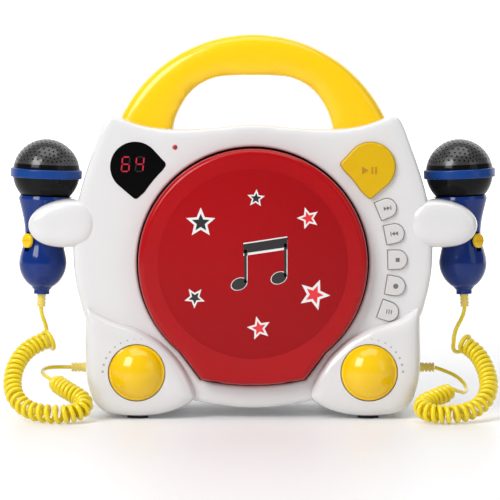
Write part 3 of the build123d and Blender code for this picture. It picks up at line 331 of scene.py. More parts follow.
def modify(piece, kind, **values):
    """Add a modifier, set it and apply it."""
    take(piece)
    bpy.ops.object.modifier_add(type=kind)
    modifier = piece.modifiers[-1]
    for key, value in values.items():
        setattr(modifier, key, value)
    bpy.ops.object.modifier_apply(modifier=modifier.name)
    return piece


def copy_of(piece, name):
    take(piece)
    bpy.ops.object.duplicate()
    return named(name)


def joined(pieces, name):
    clear_selection()
    for piece in pieces:
        piece.select_set(True)
    bpy.context.view_layer.objects.active = pieces[0]
    bpy.ops.object.join()
    return named(name)


def discard(piece):
    bpy.data.objects.remove(piece, do_unlink=True)


def cut(piece, cutter):
    modify(piece, "BOOLEAN", operation="DIFFERENCE", solver="EXACT", object=cutter)
    discard(cutter)


def smooth_shading(piece, angle=35):
    take(piece)
    bpy.ops.object.shade_smooth_by_angle(angle=radians(angle))
    return piece


def even_normals(piece):
    return modify(piece, "WEIGHTED_NORMAL", weight=80, keep_sharp=True)


def finish(piece, material, body="casing", stands_for=()):
    """Give the piece its material, the body it rides on and what it stands for."""
    piece.data.materials.clear()
    piece.data.materials.append(material)
    if stands_for:
        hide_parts(*stands_for)
    if body:
        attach(piece, body)
    return piece


def dress(node, material):
    """Give a CAD node a better material."""
    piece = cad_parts[node]
    if not piece.material_slots:
        piece.data.materials.append(material)
    for slot in piece.material_slots:
        slot.material = material


# ---------------------------------------------------------------- outlines
def mirrored(points):
    return [(-x, z) for x, z in reversed(points)]


def smooth_path(points, steps, closed=False):
    """Points along a curve that passes through all of these."""
    count = len(points)
    spans = count if closed else count - 1
    path = []

    def at(index):
        return Vector(points[index % count] if closed else points[min(max(index, 0), count - 1)])

    for i in range(spans):
        a, b, c, d = at(i - 1), at(i), at(i + 1), at(i + 2)
        for step in range(steps):
            t = step / steps
            path.append(0.5 * (2 * b + (c - a) * t + (2 * a - 5 * b + 4 * c - d) * t * t
                               + (3 * b - a - 3 * c + d) * t**3))
    if not closed:
        path.append(at(count - 1))
    return path


def arc(x, z, radius, start, end, steps):
    """Points along an arc between two angles in degrees."""
    angles = [radians(start + (end - start) * i / steps) for i in range(steps + 1)]
    return [(x + radius * cos(angle), z + radius * sin(angle)) for angle in angles]


def circle(x, z, radius, points=24):
    return arc(x, z, radius, 0, 360 - 360 / points, points - 1)


def rectangle(low_x, low_z, high_x, high_z):
    return [(low_x, low_z), (high_x, low_z), (high_x, high_z), (low_x, high_z)]


def hull_of_rounds(rounds, side):
    """The band stretched round these circles, as a loop of points."""
    points = sorted({(round(px, 4), round(pz, 4)) for x, z, radius in rounds
                     for px, pz in arc(side * x, z, radius, 0, 360, 72)})

    def chain(ordered):
        kept = []
        for p in ordered:
            while len(kept) > 1 and ((kept[-1][0] - kept[-2][0]) * (p[1] - kept[-2][1])
                                     - (kept[-1][1] - kept[-2][1]) * (p[0] - kept[-2][0])) <= 0:
                kept.pop()
            kept.append(p)
        return kept[:-1]

    return chain(points) + chain(points[::-1])


def densified(loop, step):
    """The same loop with no run longer than this step."""
    points = []
    for (ax, az), (bx, bz) in zip(loop, loop[1:] + loop[:1]):
        parts = max(1, int(hypot(bx - ax, bz - az) / step))
        points += [(ax + (bx - ax) * i / parts, az + (bz - az) * i / parts) for i in range(parts)]
    return points


def shield_outline(side):
    """Window or play button: round outside, hollow where it follows the lid."""
    outline = []
    for x, z in densified(hull_of_rounds(SHIELD_ROUNDS, side), 1.0):
        push = max(1, SHIELD_HOLLOW / hypot(x, z - disc_centre_z))
        outline.append((x * push, disc_centre_z + (z - disc_centre_z) * push))
    return outline


def lid_outline(extra, top_steps=120, foot_steps=16):
    """The round lid with its hinge tab, whose foot sags between its corners."""
    start, corner = Vector(LID_TAB_START), Vector(LID_TAB_CORNER)
    angle = degrees(atan2(start.y - disc_centre_z, start.x))
    top = arc(0, disc_centre_z, LID_RADIUS + extra, angle, 180 - angle, top_steps)
    sag = corner.y - LID_FOOT_Z
    slope = start - corner
    corner += Vector((slope.y, -slope.x)).normalized() * extra
    shares = [2 * i / foot_steps - 1 for i in range(foot_steps + 1)]
    return top + [(corner.x * share, corner.y - extra / 2 - sag * (1 - share**2)) for share in shares]


def key_outline(angle, extra):
    """A key, flat towards the lid and round outside."""
    half = KEY_HALF + extra
    turn = Matrix.Rotation(radians(angle), 2)
    centre = Vector((KEY_ARC * cos(radians(angle)), disc_centre_z + KEY_ARC * sin(radians(angle))))
    shape = arc(0, 0, half, -90, 90, 24) + [(-half, half), (-half, -half)]
    return [tuple(centre + turn @ Vector(p)) for p in shape]


def plate(name, outline, depth):
    """A flat face of this outline, in millimetres, upright at this depth, in metres."""
    clear_selection()
    bpy.ops.mesh.primitive_circle_add(vertices=len(outline), fill_type="NGON")
    piece = named(name)
    for vertex, (x, z) in zip(piece.data.vertices, outline):
        vertex.co = (x * MM, depth, z * MM)
    return piece


def block(name, outline, front, back):
    """A solid of this outline between two depths."""
    piece = plate(name, outline, back)
    with editing(piece):
        bpy.ops.mesh.extrude_region_move(TRANSFORM_OT_translate={"value": (0, front - back, 0)})
        bpy.ops.mesh.select_all(action="SELECT")
        bpy.ops.mesh.normals_make_consistent(inside=False)
    return piece


def plug(name, outline_at, inner, face, rounding):
    """A cutter for a hole with a rounded brim: outline_at(extra) is its outline, in millimetres."""
    rings = [(0, face + rounding)]
    rings += [(rounding * (1 - cos(radians(a))) / MM, face + rounding * (1 - sin(radians(a))))
              for a in (30, 60, 90)]
    rings.append((rounding / MM, face - PAST))
    before = outline_at(0)
    piece = plate(name, before, inner)
    with editing(piece):
        for extra, depth in rings:
            bpy.ops.mesh.extrude_region_move()
            outline = outline_at(extra)
            cells = bmesh.from_edit_mesh(piece.data)
            for vertex in (v for v in cells.verts if v.select):
                x, z = vertex.co.x / MM, vertex.co.z / MM
                index = min(range(len(before)), key=lambda i: hypot(before[i][0] - x, before[i][1] - z))
                vertex.co = (outline[index][0] * MM, depth, outline[index][1] * MM)
            bmesh.update_edit_mesh(piece.data)
            before = outline
        bpy.ops.mesh.select_all(action="SELECT")
        bpy.ops.mesh.normals_make_consistent(inside=False)
    return piece


def soften(piece, voxel, passes):
    """Turn a sharp block into a soft, moulded one."""
    modify(piece, "REMESH", mode="VOXEL", voxel_size=voxel)
    modify(piece, "SMOOTH", factor=0.5, iterations=passes)


def box_of(piece):
    """The lowest and highest corners of a piece."""
    corners = [vertex.co for vertex in piece.data.vertices]
    return [[end(corner[axis] for corner in corners) for axis in range(3)] for end in (min, max)]


def fit(piece, low, high):
    """Stretch the piece a little, so that it fills this box again."""
    least, most = box_of(piece)
    for axis in range(3):
        scale = (high[axis] - low[axis]) / (most[axis] - least[axis])
        for vertex in piece.data.vertices:
            vertex.co[axis] = low[axis] + (vertex.co[axis] - least[axis]) * scale


def mirror_box(side, inner, outer, front, back, base, top):
    """The lowest and highest corners of a box on the left or the right of the object."""
    near, far = side * inner, side * outer
    return (min(near, far), front, base), (max(near, far), back, top)


def half_of(piece, name, sizes, front, closed):
    """The front or the back half of a piece, cut at the seam."""
    half = copy_of(piece, name)
    depth = sizes.seam + (-0.5 if front else 0.5) * sizes.seam_gap
    with editing(half):
        bpy.ops.mesh.bisect(plane_co=(0, depth, 0), plane_no=(0, 1, 0), use_fill=closed,
                            clear_outer=front, clear_inner=not front)
    return half


# ---------------------------------------------------------------- materials
def shader_of(name):
    material = bpy.data.materials.new(name)
    material.use_nodes = True
    tree = material.node_tree
    return material, tree.nodes, tree.links, tree.nodes["Principled BSDF"]


def noise(nodes, links, scale, detail=3.0, source=None):
    """Noise on the piece's own coordinates."""
    texture = nodes.new("ShaderNodeTexNoise")
    texture.inputs["Scale"].default_value = scale
    texture.inputs["Detail"].default_value = detail
    if source is None:
        source = nodes.new("ShaderNodeTexCoord").outputs["Object"]
    links.new(source, texture.inputs["Vector"])
    return texture.outputs["Fac"]


def ranged(nodes, links, value, low, high):
    """Bring a 0.3 to 0.7 noise to this range."""
    mapped = nodes.new("ShaderNodeMapRange")
    mapped.inputs["From Min"].default_value = 0.3
    mapped.inputs["From Max"].default_value = 0.7
    mapped.inputs["To Min"].default_value = low
    mapped.inputs["To Max"].default_value = high
    links.new(value, mapped.inputs["Value"])
    return mapped.outputs["Result"]


def blend_of(nodes, links, factor, first, second):
    mix = nodes.new("ShaderNodeMix")
    mix.data_type = "RGBA"
    links.new(factor, mix.inputs["Factor"])
    mix.inputs["A"].default_value = (*first, 1)
    mix.inputs["B"].default_value = (*second, 1)
    return mix.outputs["Result"]


def shade(rgb, amount):
    return tuple(min(1, c * amount) for c in rgb)


FLOW_SCALE, MARK_SCALE = 14, 85      # of the flow marks and the handling marks in moulded plastic


def moulded(name, rgb, rough, coat=0.0, tint=0.05, grain=900, relief=0.00004, spread=0.05, glow=None,
            gleam=0.5):
    """Moulded plastic: faint flow marks in its colour, handling marks in its gloss, a fine skin."""
    material, nodes, links, shader = shader_of(name)
    flow = ranged(nodes, links, noise(nodes, links, FLOW_SCALE, 4), 0, 1)
    links.new(blend_of(nodes, links, flow, shade(rgb, 1 - tint), shade(rgb, 1 + tint)),
              shader.inputs["Base Color"])
    marks = noise(nodes, links, MARK_SCALE, 6)
    links.new(ranged(nodes, links, marks, max(0.02, rough - spread), rough + spread),
              shader.inputs["Roughness"])
    bump = nodes.new("ShaderNodeBump")
    bump.inputs["Strength"].default_value = 0.35
    bump.inputs["Distance"].default_value = relief
    links.new(noise(nodes, links, grain, 2), bump.inputs["Height"])
    links.new(bump.outputs["Normal"], shader.inputs["Normal"])
    shader.inputs["Coat Weight"].default_value = coat
    shader.inputs["Coat Roughness"].default_value = 0.06
    shader.inputs["Specular IOR Level"].default_value = gleam
    if glow:
        shader.inputs["Emission Color"].default_value = (*glow, 1)
        shader.inputs["Emission Strength"].default_value = 0.5
    return material


def drawn_metal(name, rgb, rough, metallic=1.0):
    """Turned or drawn metal with fine marks along X."""
    material, nodes, links, shader = shader_of(name)
    stretch = nodes.new("ShaderNodeMapping")
    stretch.inputs["Scale"].default_value = (40, 1600, 1600)
    links.new(nodes.new("ShaderNodeTexCoord").outputs["Object"], stretch.inputs["Vector"])
    lines = noise(nodes, links, 1.0, 4, stretch.outputs["Vector"])
    links.new(blend_of(nodes, links, lines, shade(rgb, 0.8), shade(rgb, 1.1)), shader.inputs["Base Color"])
    links.new(ranged(nodes, links, lines, rough - 0.08, rough + 0.1), shader.inputs["Roughness"])
    shader.inputs["Metallic"].default_value = metallic
    return material


def shell_white(colours):
    return moulded("shell_white", colours.shell, 0.2, coat=0.55, tint=0.012, relief=0.00003, spread=0.04)


def handle_yellow(colours):
    return moulded("handle_yellow", colours.handle, 0.24, coat=0.25, tint=0.02, spread=0.02,
                   relief=0.00002, gleam=0.4)


def knob_yellow(colours):
    return moulded("knob_yellow", shade(colours.handle, 0.95), 0.15, coat=0.35, tint=0.05, spread=0.03,
                   gleam=0.4)


def play_yellow(colours):
    return moulded("play_yellow", colours.play, 0.28, coat=0.1, tint=0.03, gleam=0.25)


def lid_red(colours):
    return moulded("lid_red", colours.lid, 0.2, coat=0.12, tint=0.06, relief=0.00002, spread=0.04,
                   gleam=0.22)


LABEL_PAINTED_HIGHLIGHT = (-0.035, 0.03)          # the centre of the painted highlight on the label, from the disc's centre
LABEL_HIGHLIGHT_REACH = 0.12                    # how far the painted highlight reaches before it turns to painted shade


def label_red(colours):
    """Printed film: the lid's red, with a painted highlight towards the upper left that fades to painted
    shade away from it.
    """
    material, nodes, links, shader = shader_of("label_red")
    place = nodes.new("ShaderNodeTexCoord").outputs["Object"]
    centre = nodes.new("ShaderNodeMapping")
    centre.inputs["Location"].default_value = (-LABEL_PAINTED_HIGHLIGHT[0], 0, -disc_centre_z * MM - LABEL_PAINTED_HIGHLIGHT[1])
    links.new(place, centre.inputs["Vector"])
    reach = nodes.new("ShaderNodeVectorMath")
    reach.operation = "LENGTH"
    links.new(centre.outputs["Vector"], reach.inputs[0])
    fade = nodes.new("ShaderNodeMapRange")
    fade.interpolation_type = "SMOOTHSTEP"
    fade.inputs["From Max"].default_value = LABEL_HIGHLIGHT_REACH
    links.new(reach.outputs["Value"], fade.inputs["Value"])
    # painted highlight and painted shade: the lid's red made lighter near that place and darker away from
    # it
    bright, dark = shade(colours.lid, 1.06), shade(colours.lid, 0.8)
    links.new(blend_of(nodes, links, fade.outputs["Result"], bright, dark), shader.inputs["Base Color"])
    links.new(ranged(nodes, links, noise(nodes, links, 60, 6), 0.14, 0.24), shader.inputs["Roughness"])
    shader.inputs["Coat Weight"].default_value = 0.06
    shader.inputs["Coat Roughness"].default_value = 0.06
    shader.inputs["Specular IOR Level"].default_value = 0.18
    return material


def print_ink(name, rgb):
    return moulded(name, rgb, 0.22, coat=0.5, tint=0.02, spread=0.03)


def window_smoke():
    return moulded("window_smoke", (0.001, 0.001, 0.0012), 0.12, tint=0.1, spread=0.03, gleam=0.12)


def digit_glow(colours):
    return moulded("digit_glow", colours.digit, 0.4, glow=colours.digit)


def lamp_red():
    return moulded("lamp_red", (0.35, 0.002, 0.003), 0.12, coat=0.6, glow=(0.1, 0.001, 0.001))


def key_grey(colours):
    return moulded("key_grey", colours.key, 0.3, coat=0.15, tint=0.02)


def grip_blue(colours):
    return moulded("grip_blue", colours.grip, 0.12, coat=0.15, tint=0.08, spread=0.04, gleam=0.3)


def band_blue(colours):
    return moulded("band_blue", colours.band, 0.3, coat=0.1, tint=0.06, gleam=0.3)


def grille_black():
    return moulded("grille_black", (0.03, 0.029, 0.029), 0.3, coat=0.3, tint=0.1, grain=1600)


def grille_foam():
    return moulded("grille_foam", (0.002, 0.002, 0.002), 0.9, tint=0.4, grain=2400, relief=0.0004,
                   gleam=0.1)


def bowl_black():
    return moulded("bowl_black", (0.003, 0.003, 0.0033), 0.16, coat=0.04, tint=0.1, gleam=0.15)


def inner_black():
    return moulded("inner_black", (0.02, 0.02, 0.021), 0.5, tint=0.1, grain=1500, relief=0.0001)


def bay_dark_red():
    return moulded("bay_dark_red", (0.05, 0.004, 0.005), 0.4, coat=0.2, tint=0.1)


def drive_grey():
    return moulded("drive_grey", (0.13, 0.13, 0.135), 0.45, tint=0.08, grain=1300, relief=0.0001)


def board_green():
    """Solder resist with copper tracks showing through as a paler pattern."""
    material, nodes, links, shader = shader_of("board_green")
    cells = nodes.new("ShaderNodeTexVoronoi")
    cells.feature = "DISTANCE_TO_EDGE"
    cells.inputs["Scale"].default_value = 260
    links.new(nodes.new("ShaderNodeTexCoord").outputs["Object"], cells.inputs["Vector"])
    edge = nodes.new("ShaderNodeMapRange")
    edge.inputs["From Min"].default_value = 0.02
    edge.inputs["From Max"].default_value = 0.08
    links.new(cells.outputs["Distance"], edge.inputs["Value"])
    links.new(blend_of(nodes, links, edge.outputs["Result"], (0.03, 0.2, 0.05), (0.008, 0.09, 0.025)),
              shader.inputs["Base Color"])
    shader.inputs["Roughness"].default_value = 0.35
    return material


def cone_paper():
    return moulded("cone_paper", (0.03, 0.03, 0.032), 0.85, tint=0.25, grain=2200, relief=0.0003)


def pad_rubber():
    return moulded("pad_rubber", (0.02, 0.02, 0.02), 0.8, tint=0.15, grain=1800, relief=0.0002)


def cord_yellow(colours):
    return moulded("cord_yellow", colours.cord, 0.24, coat=0.45, tint=0.06, grain=1400, spread=0.06)


def relief_yellow():
    return moulded("relief_yellow", (0.93, 0.74, 0.16), 0.34, coat=0.2, tint=0.05)


def floor_pale():
    """The pale table top and its backdrop, faintly mottled and lit from within."""
    material, nodes, links, shader = shader_of("floor_pale")
    links.new(blend_of(nodes, links, noise(nodes, links, 3, 4), (0.82, 0.82, 0.83), (0.86, 0.86, 0.86)),
              shader.inputs["Base Color"])
    shader.inputs["Roughness"].default_value = 0.42
    shader.inputs["Emission Color"].default_value = (1, 1, 1, 1)
    place = nodes.new("ShaderNodeSeparateXYZ")
    links.new(nodes.new("ShaderNodeTexCoord").outputs["Object"], place.inputs[0])
    rise = nodes.new("ShaderNodeMapRange")
    rise.interpolation_type = "SMOOTHSTEP"
    rise.inputs["From Min"].default_value = 0.2
    rise.inputs["From Max"].default_value = 2.5
    rise.inputs["To Min"].default_value = 0.06
    rise.inputs["To Max"].default_value = 0.95
    links.new(place.outputs["Y"], rise.inputs["Value"])
    links.new(rise.outputs["Result"], shader.inputs["Emission Strength"])
    return material


# ---------------------------------------------------------------- stage and cords
SOFTBOXES = {                                # width and height, and place, in metres
    "key": ((0.9, 1.1), (-1.1, -1.3, 1.25)),
    "fill": ((0.8, 1.2), (1.4, -1.1, 0.7)),
    "top": ((1.4, 1.0), (0.05, -0.25, 1.6)),
}


def add_softbox(name, size, place, power):
    """A rectangular softbox there, turned towards the object's middle."""
    clear_selection()
    bpy.ops.object.light_add(type="AREA", location=place)
    light = named(name)
    light.data.shape = "RECTANGLE"
    light.data.size, light.data.size_y = size
    light.data.energy = power
    light.rotation_euler = (Vector(OBJECT_MIDDLE) - Vector(place)).to_track_quat("-Z", "Y").to_euler()


class KARAOKE_OT_stage(bpy.types.Operator):
    """Add the camera, the table top, the softboxes and the surroundings"""

    bl_idname = "karaoke.stage"
    bl_label = "Stage"

    def execute(self, context):
        scene = context.scene
        studio = scene.karaoke_studio
        clear_selection()
        bpy.ops.object.camera_add(location=(studio.sideways, -studio.distance, studio.height),
                                  rotation=(pi / 2 - studio.tilt, 0, 0))
        camera = named("camera")
        camera.data.lens = studio.focal
        camera.data.sensor_width = 36
        scene.camera = camera
        clear_selection()
        bpy.ops.mesh.primitive_plane_add(size=studio.floor_size, location=(0, -studio.distance, 0))
        floor = settle(named("table_top"))
        with editing(floor, "DESELECT") as cells:
            pick(cells, floor, lambda corner: corner.co.y > 0)
            bpy.ops.mesh.extrude_region_move(TRANSFORM_OT_translate={"value": (0, 0, studio.backdrop)})
        with editing(floor, "DESELECT") as cells:
            pick(cells, floor, lambda corner: corner.co.y > 0 and corner.co.z < studio.backdrop / 2)
            bpy.ops.mesh.bevel(offset=studio.sweep, segments=24)
        smooth_shading(floor, 60)
        floor.data.materials.append(floor_pale())
        for name, (size, place) in SOFTBOXES.items():
            add_softbox(f"{name}_softbox", size, place, getattr(studio, f"{name}_power"))
        scene.world = scene.world or bpy.data.worlds.new("surroundings")
        scene.world.use_nodes = True
        sky = scene.world.node_tree.nodes["Background"]
        sky.inputs["Color"].default_value = (0.97, 0.98, 1.0, 1)
        sky.inputs["Strength"].default_value = studio.sky
        scene.view_settings.view_transform = "Standard"
        return {"FINISHED"}


def route_points(name, route):
    """Evenly spaced points along the smooth curve that a route guides, in metres."""
    data = bpy.data.curves.new(name, "CURVE")
    data.dimensions = "3D"
    data.resolution_u = 24
    spline = data.splines.new("NURBS")
    spline.points.add(len(route) - 1)
    for point, place in zip(spline.points, route):
        point.co = (*(c * MM for c in place), 1)
    spline.order_u = 3
    spline.use_endpoint_u = True
    holder = bpy.data.objects.new(name, data)
    bpy.context.collection.objects.link(holder)
    bpy.context.view_layer.update()
    line = bpy.data.meshes.new_from_object(holder)
    corners = [v.co.copy() for v in line.vertices]
    bpy.data.objects.remove(holder, do_unlink=True)
    bpy.data.meshes.remove(line)
    points, travelled, target = [corners[0]], 0.0, ROUTE_STEP
    for a, b in zip(corners, corners[1:]):
        run = (b - a).length
        while travelled + run >= target:
            points.append(a + (b - a) * ((target - travelled) / run))
            target += ROUTE_STEP
        travelled += run
    if (points[-1] - corners[-1]).length > ROUTE_STEP / 3:
        points.append(corners[-1])
    return points


def carried_frames(points):
    """A pair of directions across the path at each point, turned as little as possible."""
    tangents = [(points[min(i + 1, len(points) - 1)] - points[max(i - 1, 0)]).normalized()
                for i in range(len(points))]
    side = tangents[0].orthogonal().normalized()
    frames = []
    for tangent in tangents:
        side = (side - tangent * side.dot(tangent)).normalized()
        frames.append((side, tangent.cross(side)))
    return frames


def curls(points, sizes):
    """The places and thicknesses of a helix round this path.

    It starts downwards on a wider curl, and ends on the path itself.
    """
    frames = carried_frames(points)
    radius = (sizes.coil - sizes.curl_wire) / 2
    reach = [0.0]
    for a, b in zip(points, points[1:]):
        reach.append(reach[-1] + (b - a).length)
    total = reach[-1]
    outward = Vector((0, 0, -1)).cross(points[1] - points[0])
    turn = atan2(outward.dot(frames[0][1]), outward.dot(frames[0][0]))
    helix, here, index = [], 0.0, 0
    while here < total:
        while index < len(reach) - 2 and reach[index + 1] < here:
            index += 1
        part = (here - reach[index]) / (reach[index + 1] - reach[index])
        base = points[index].lerp(points[index + 1], part)
        side, up = frames[index]
        swell = min(1, (total - here) / (sizes.closing * sizes.pitch))
        swell = swell * swell * (3 - 2 * swell)
        wide = swell + sizes.first_curl * max(0, 1 - here / (sizes.opening * sizes.pitch)) ** 2
        thick = min(1, here / sizes.pitch, (total - here) / sizes.pitch)
        helix.append((base + (side * cos(turn) + up * sin(turn)) * radius * wide,
                      sizes.lead_wire + (sizes.curl_wire - sizes.lead_wire) * thick))
        pitch = sizes.open_pitch if OPEN_STRETCH[0] < here / total < OPEN_STRETCH[1] else sizes.pitch
        here += pitch / sizes.curl_steps
        turn += 2 * pi / sizes.curl_steps
    return helix


def wire_tube(name, path, thicknesses, sides):
    """A round wire along this path, closed at both ends."""
    frames = carried_frames(path)
    rings = [[point + (side * cos(2 * pi * k / sides) + up * sin(2 * pi * k / sides)) * thick / 2
              for k in range(sides)] for point, thick, (side, up) in zip(path, thicknesses, frames)]
    corners = [corner for ring in rings for corner in ring]
    faces = [(r * sides + k, r * sides + (k + 1) % sides, (r + 1) * sides + (k + 1) % sides,
              (r + 1) * sides + k) for r in range(len(rings) - 1) for k in range(sides)]
    faces.append(tuple(reversed(range(sides))))
    faces.append(tuple(range(len(corners) - sides, len(corners))))
    mesh = bpy.data.meshes.new(name)
    mesh.from_pydata(corners, [], faces)
    tube = bpy.data.objects.new(name, mesh)
    bpy.context.collection.objects.link(tube)
    with editing(tube):
        bpy.ops.mesh.normals_make_consistent(inside=False)
    return smooth_shading(tube, 60)


def spaced(points, step):
    """The same line of places and thicknesses with its places at least this far apart."""
    kept = [points[0]]
    for point in points[1:]:
        if (point[0] - kept[-1][0]).length >= step:
            kept.append(point)
    return kept


class KARAOKE_OT_cords(bpy.types.Operator):
    """Add the two curly cords from the microphones to the casing"""

    bl_idname = "karaoke.cords"
    bl_label = "Curly Cords"

    def execute(self, context):
        sizes = context.scene.karaoke_cords
        yellow = cord_yellow(context.scene.karaoke_colours)
        for side, hand in SIDES:
            lead = route_points(f"lead_route_{hand}", LEAD_ROUTES[side])
            helix = curls(route_points(f"coil_route_{hand}", COIL_ROUTES[side]), sizes)
            top = mic_matrix(context, side) @ Vector((0, 0, context.scene.karaoke_mics.cord_exit)) / MM
            first = helix[0][0] / MM
            below, above = top - Vector((0, 0, DROP_START)), first + Vector((0, 0, DROP_END))
            drop = route_points(f"drop_route_{hand}", [top, below, above, first])
            line = [(point, sizes.lead_wire) for point in drop[:-1]] + helix
            line = spaced(line + [(point, sizes.lead_wire) for point in lead], sizes.spacing)
            path = [point for point, thick in line]
            cord = wire_tube(f"curly_cord_{hand}", path, [thick for point, thick in line], sizes.sides)
            finish(cord, yellow, body=None,
                   stands_for=(f"cord_coil_{hand}", f"cord_lead_{hand}", f"cord_mic_lead_{hand}"))
            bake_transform(cord)
        return {"FINISHED"}


# ---------------------------------------------------------------- casing
def finish_shell(piece, white, node, angle=32):
    """Shade a white piece of the casing evenly, and let it stand for this node."""
    even_normals(smooth_shading(piece, angle))
    finish(piece, white, stands_for=(node,))


def front_casing(whole, sizes, front, white):
    """The front shell, open for the lid, the window, the play button, the keys and the lamp."""
    shell = half_of(whole, "casing_front", sizes, True, False)
    modify(shell, "SOLIDIFY", thickness=sizes.wall, offset=-1, use_even_offset=False)
    through = sizes.front + 3 * sizes.wall
    gap = front.lid_gap / MM
    cuts = [plug("lid_cut", lambda extra: lid_outline(gap + extra), through, sizes.front, front.lid_brim)]
    cuts += [block("shield_cut", shield_outline(side), sizes.front - PAST, through) for side, _ in SIDES]
    cuts += [plug("key_cut", lambda extra, a=angle: key_outline(a, extra), through, sizes.front,
                  front.key_brim) for angle in KEY_ANGLES]
    lamp = middle_of("power_lamp")
    cuts.append(block("lamp_cut", circle(lamp.x, lamp.z, front.lamp_radius / MM),
                      sizes.front - PAST, through))
    cut(shell, joined(cuts, "front_cuts"))
    finish_shell(shell, white, "front_shell")


def back_casing(whole, sizes, white):
    """The rear shell, open for the battery door, the jack, the screws and the speaker."""
    shell = half_of(whole, "casing_back", sizes, False, False)
    modify(shell, "SOLIDIFY", thickness=sizes.wall, offset=-1, use_even_offset=False)
    inside, outside = sizes.back - 3 * sizes.wall, sizes.back + PAST
    low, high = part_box("battery_door")
    mouth = rectangle(low.x / MM - DOOR_GAP, low.z / MM - DOOR_GAP,
                      high.x / MM + DOOR_GAP, high.z / MM + DOOR_GAP)
    cuts = [block("door_cut", mouth, inside, outside)]
    jack = middle_of("dc_jack")
    cuts.append(block("jack_cut", circle(jack.x, jack.z, JACK_RADIUS), inside, outside))
    for x, z in CASING_SCREWS:
        for side, _ in SIDES:
            cuts.append(block("screw_cut", circle(side * x, z, SCREW_RADIUS), inside - 2 * PAST, outside))
    speaker_z = middle_of("speaker").z
    rows = int(SPEAKER_RADIUS / SLOT_PITCH)
    for row in range(-rows, rows + 1):
        rise = SLOT_PITCH * row
        half = (SPEAKER_RADIUS**2 - rise**2) ** 0.5 - SLOT_RADIUS
        slot = (arc(half, speaker_z + rise, SLOT_RADIUS, -90, 90, 8)
                + arc(-half, speaker_z + rise, SLOT_RADIUS, 90, 270, 8))
        cuts.append(block("speaker_slot", slot, inside, outside))
    cut(shell, joined(cuts, "back_cuts"))
    finish_shell(shell, white, "rear_shell")


class KARAOKE_OT_casing(bpy.types.Operator):
    """Add the soft front and back shells of the casing with their cut-outs"""

    bl_idname = "karaoke.casing"
    bl_label = "Casing"

    def execute(self, context):
        sizes = context.scene.karaoke_shell
        white = shell_white(context.scene.karaoke_colours)
        outline = smooth_path(CASING_HALF[:-1] + mirrored(CASING_HALF[1:]), 4, closed=True)
        whole = block("casing_block", outline, sizes.front, sizes.back)
        soften(whole, sizes.voxel, sizes.casing_softness)
        fit(whole, (-sizes.half_width, sizes.front, sizes.base), (sizes.half_width, sizes.back, sizes.top))
        front_casing(whole, sizes, context.scene.karaoke_front, white)
        back_casing(whole, sizes, white)
        discard(whole)
        return {"FINISHED"}


class KARAOKE_OT_feet(bpy.types.Operator):
    """Add the two bulbous feet with their knob cups"""

    bl_idname = "karaoke.feet"
    bl_label = "Feet"

    def execute(self, context):
        sizes, front = context.scene.karaoke_shell, context.scene.karaoke_front
        white = bpy.data.materials["shell_white"]
        bay_low, bay_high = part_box("battery_box")
        bay = rectangle(bay_low.x / MM, bay_low.z / MM, bay_high.x / MM, bay_high.z / MM)
        for side, hand in SIDES:
            outline = FOOT_OUTLINE if side > 0 else mirrored(FOOT_OUTLINE)
            whole = block(f"foot_block_{hand}", outline, sizes.foot_front, sizes.foot_back)
            soften(whole, sizes.voxel, sizes.foot_softness)
            fit(whole, *mirror_box(side, sizes.foot_inner, sizes.foot_outer, sizes.foot_front,
                                   sizes.foot_back, sizes.foot_base, sizes.foot_top))
            foot = half_of(whole, f"foot_front_{hand}", sizes, True, True)
            cut(foot, block("cup", circle(side * knob_x, knob_z, front.cup_radius / MM, 120),
                            sizes.foot_front - PAST, front.cup_floor))
            cut(foot, block("bore", circle(side * knob_x, knob_z, KNOB_BORE),
                            front.cup_floor - MM, sizes.bore_end))
            finish_shell(foot, white, "front_shell")

            foot = half_of(whole, f"foot_back_{hand}", sizes, False, True)
            x, z = FOOT_SCREW
            cut(foot, block("screw_cut", circle(side * x, z, SCREW_RADIUS),
                            sizes.well_end, sizes.foot_back + PAST))
            cut(foot, block("bay_cut", bay, bay_low.y, sizes.foot_back + PAST))
            finish_shell(foot, white, "rear_shell")
            discard(whole)
        return {"FINISHED"}


def mic_matrix(context, side):
    """Place and lean of a microphone: origin at its head's centre, Z along its axis."""
    sizes = context.scene.karaoke_mics
    return (Matrix.Translation((side * sizes.centre_x, sizes.centre_y, sizes.centre_z))
            @ Matrix.Rotation(-side * sizes.lean, 4, "Y"))


def turned(name, profile, steps):
    """A solid turned from a profile of (radius, height) in metres, closed at both ends."""
    corners = [(0, profile[0][1]), *profile, (0, profile[-1][1])]
    clear_selection()
    bpy.ops.mesh.primitive_circle_add(vertices=len(corners))
    piece = named(name)
    for vertex, (radius, height) in zip(piece.data.vertices, corners):
        vertex.co = (radius, 0, height)
    with editing(piece, "DESELECT") as cells:
        bpy.ops.mesh.select_mode(type="EDGE")
        for edge in cells.edges:
            edge.select_set(all(corner.co.x == 0 for corner in edge.verts))
        bmesh.update_edit_mesh(piece.data)
        bpy.ops.mesh.delete(type="EDGE")
        bpy.ops.mesh.select_all(action="SELECT")
        bpy.ops.mesh.spin(steps=steps, angle=2 * pi, center=(0, 0, 0), axis=(0, 0, 1))
        bpy.ops.mesh.select_all(action="SELECT")
        bpy.ops.mesh.remove_doubles(threshold=0.000001)
        bpy.ops.mesh.normals_make_consistent(inside=False)
    return piece


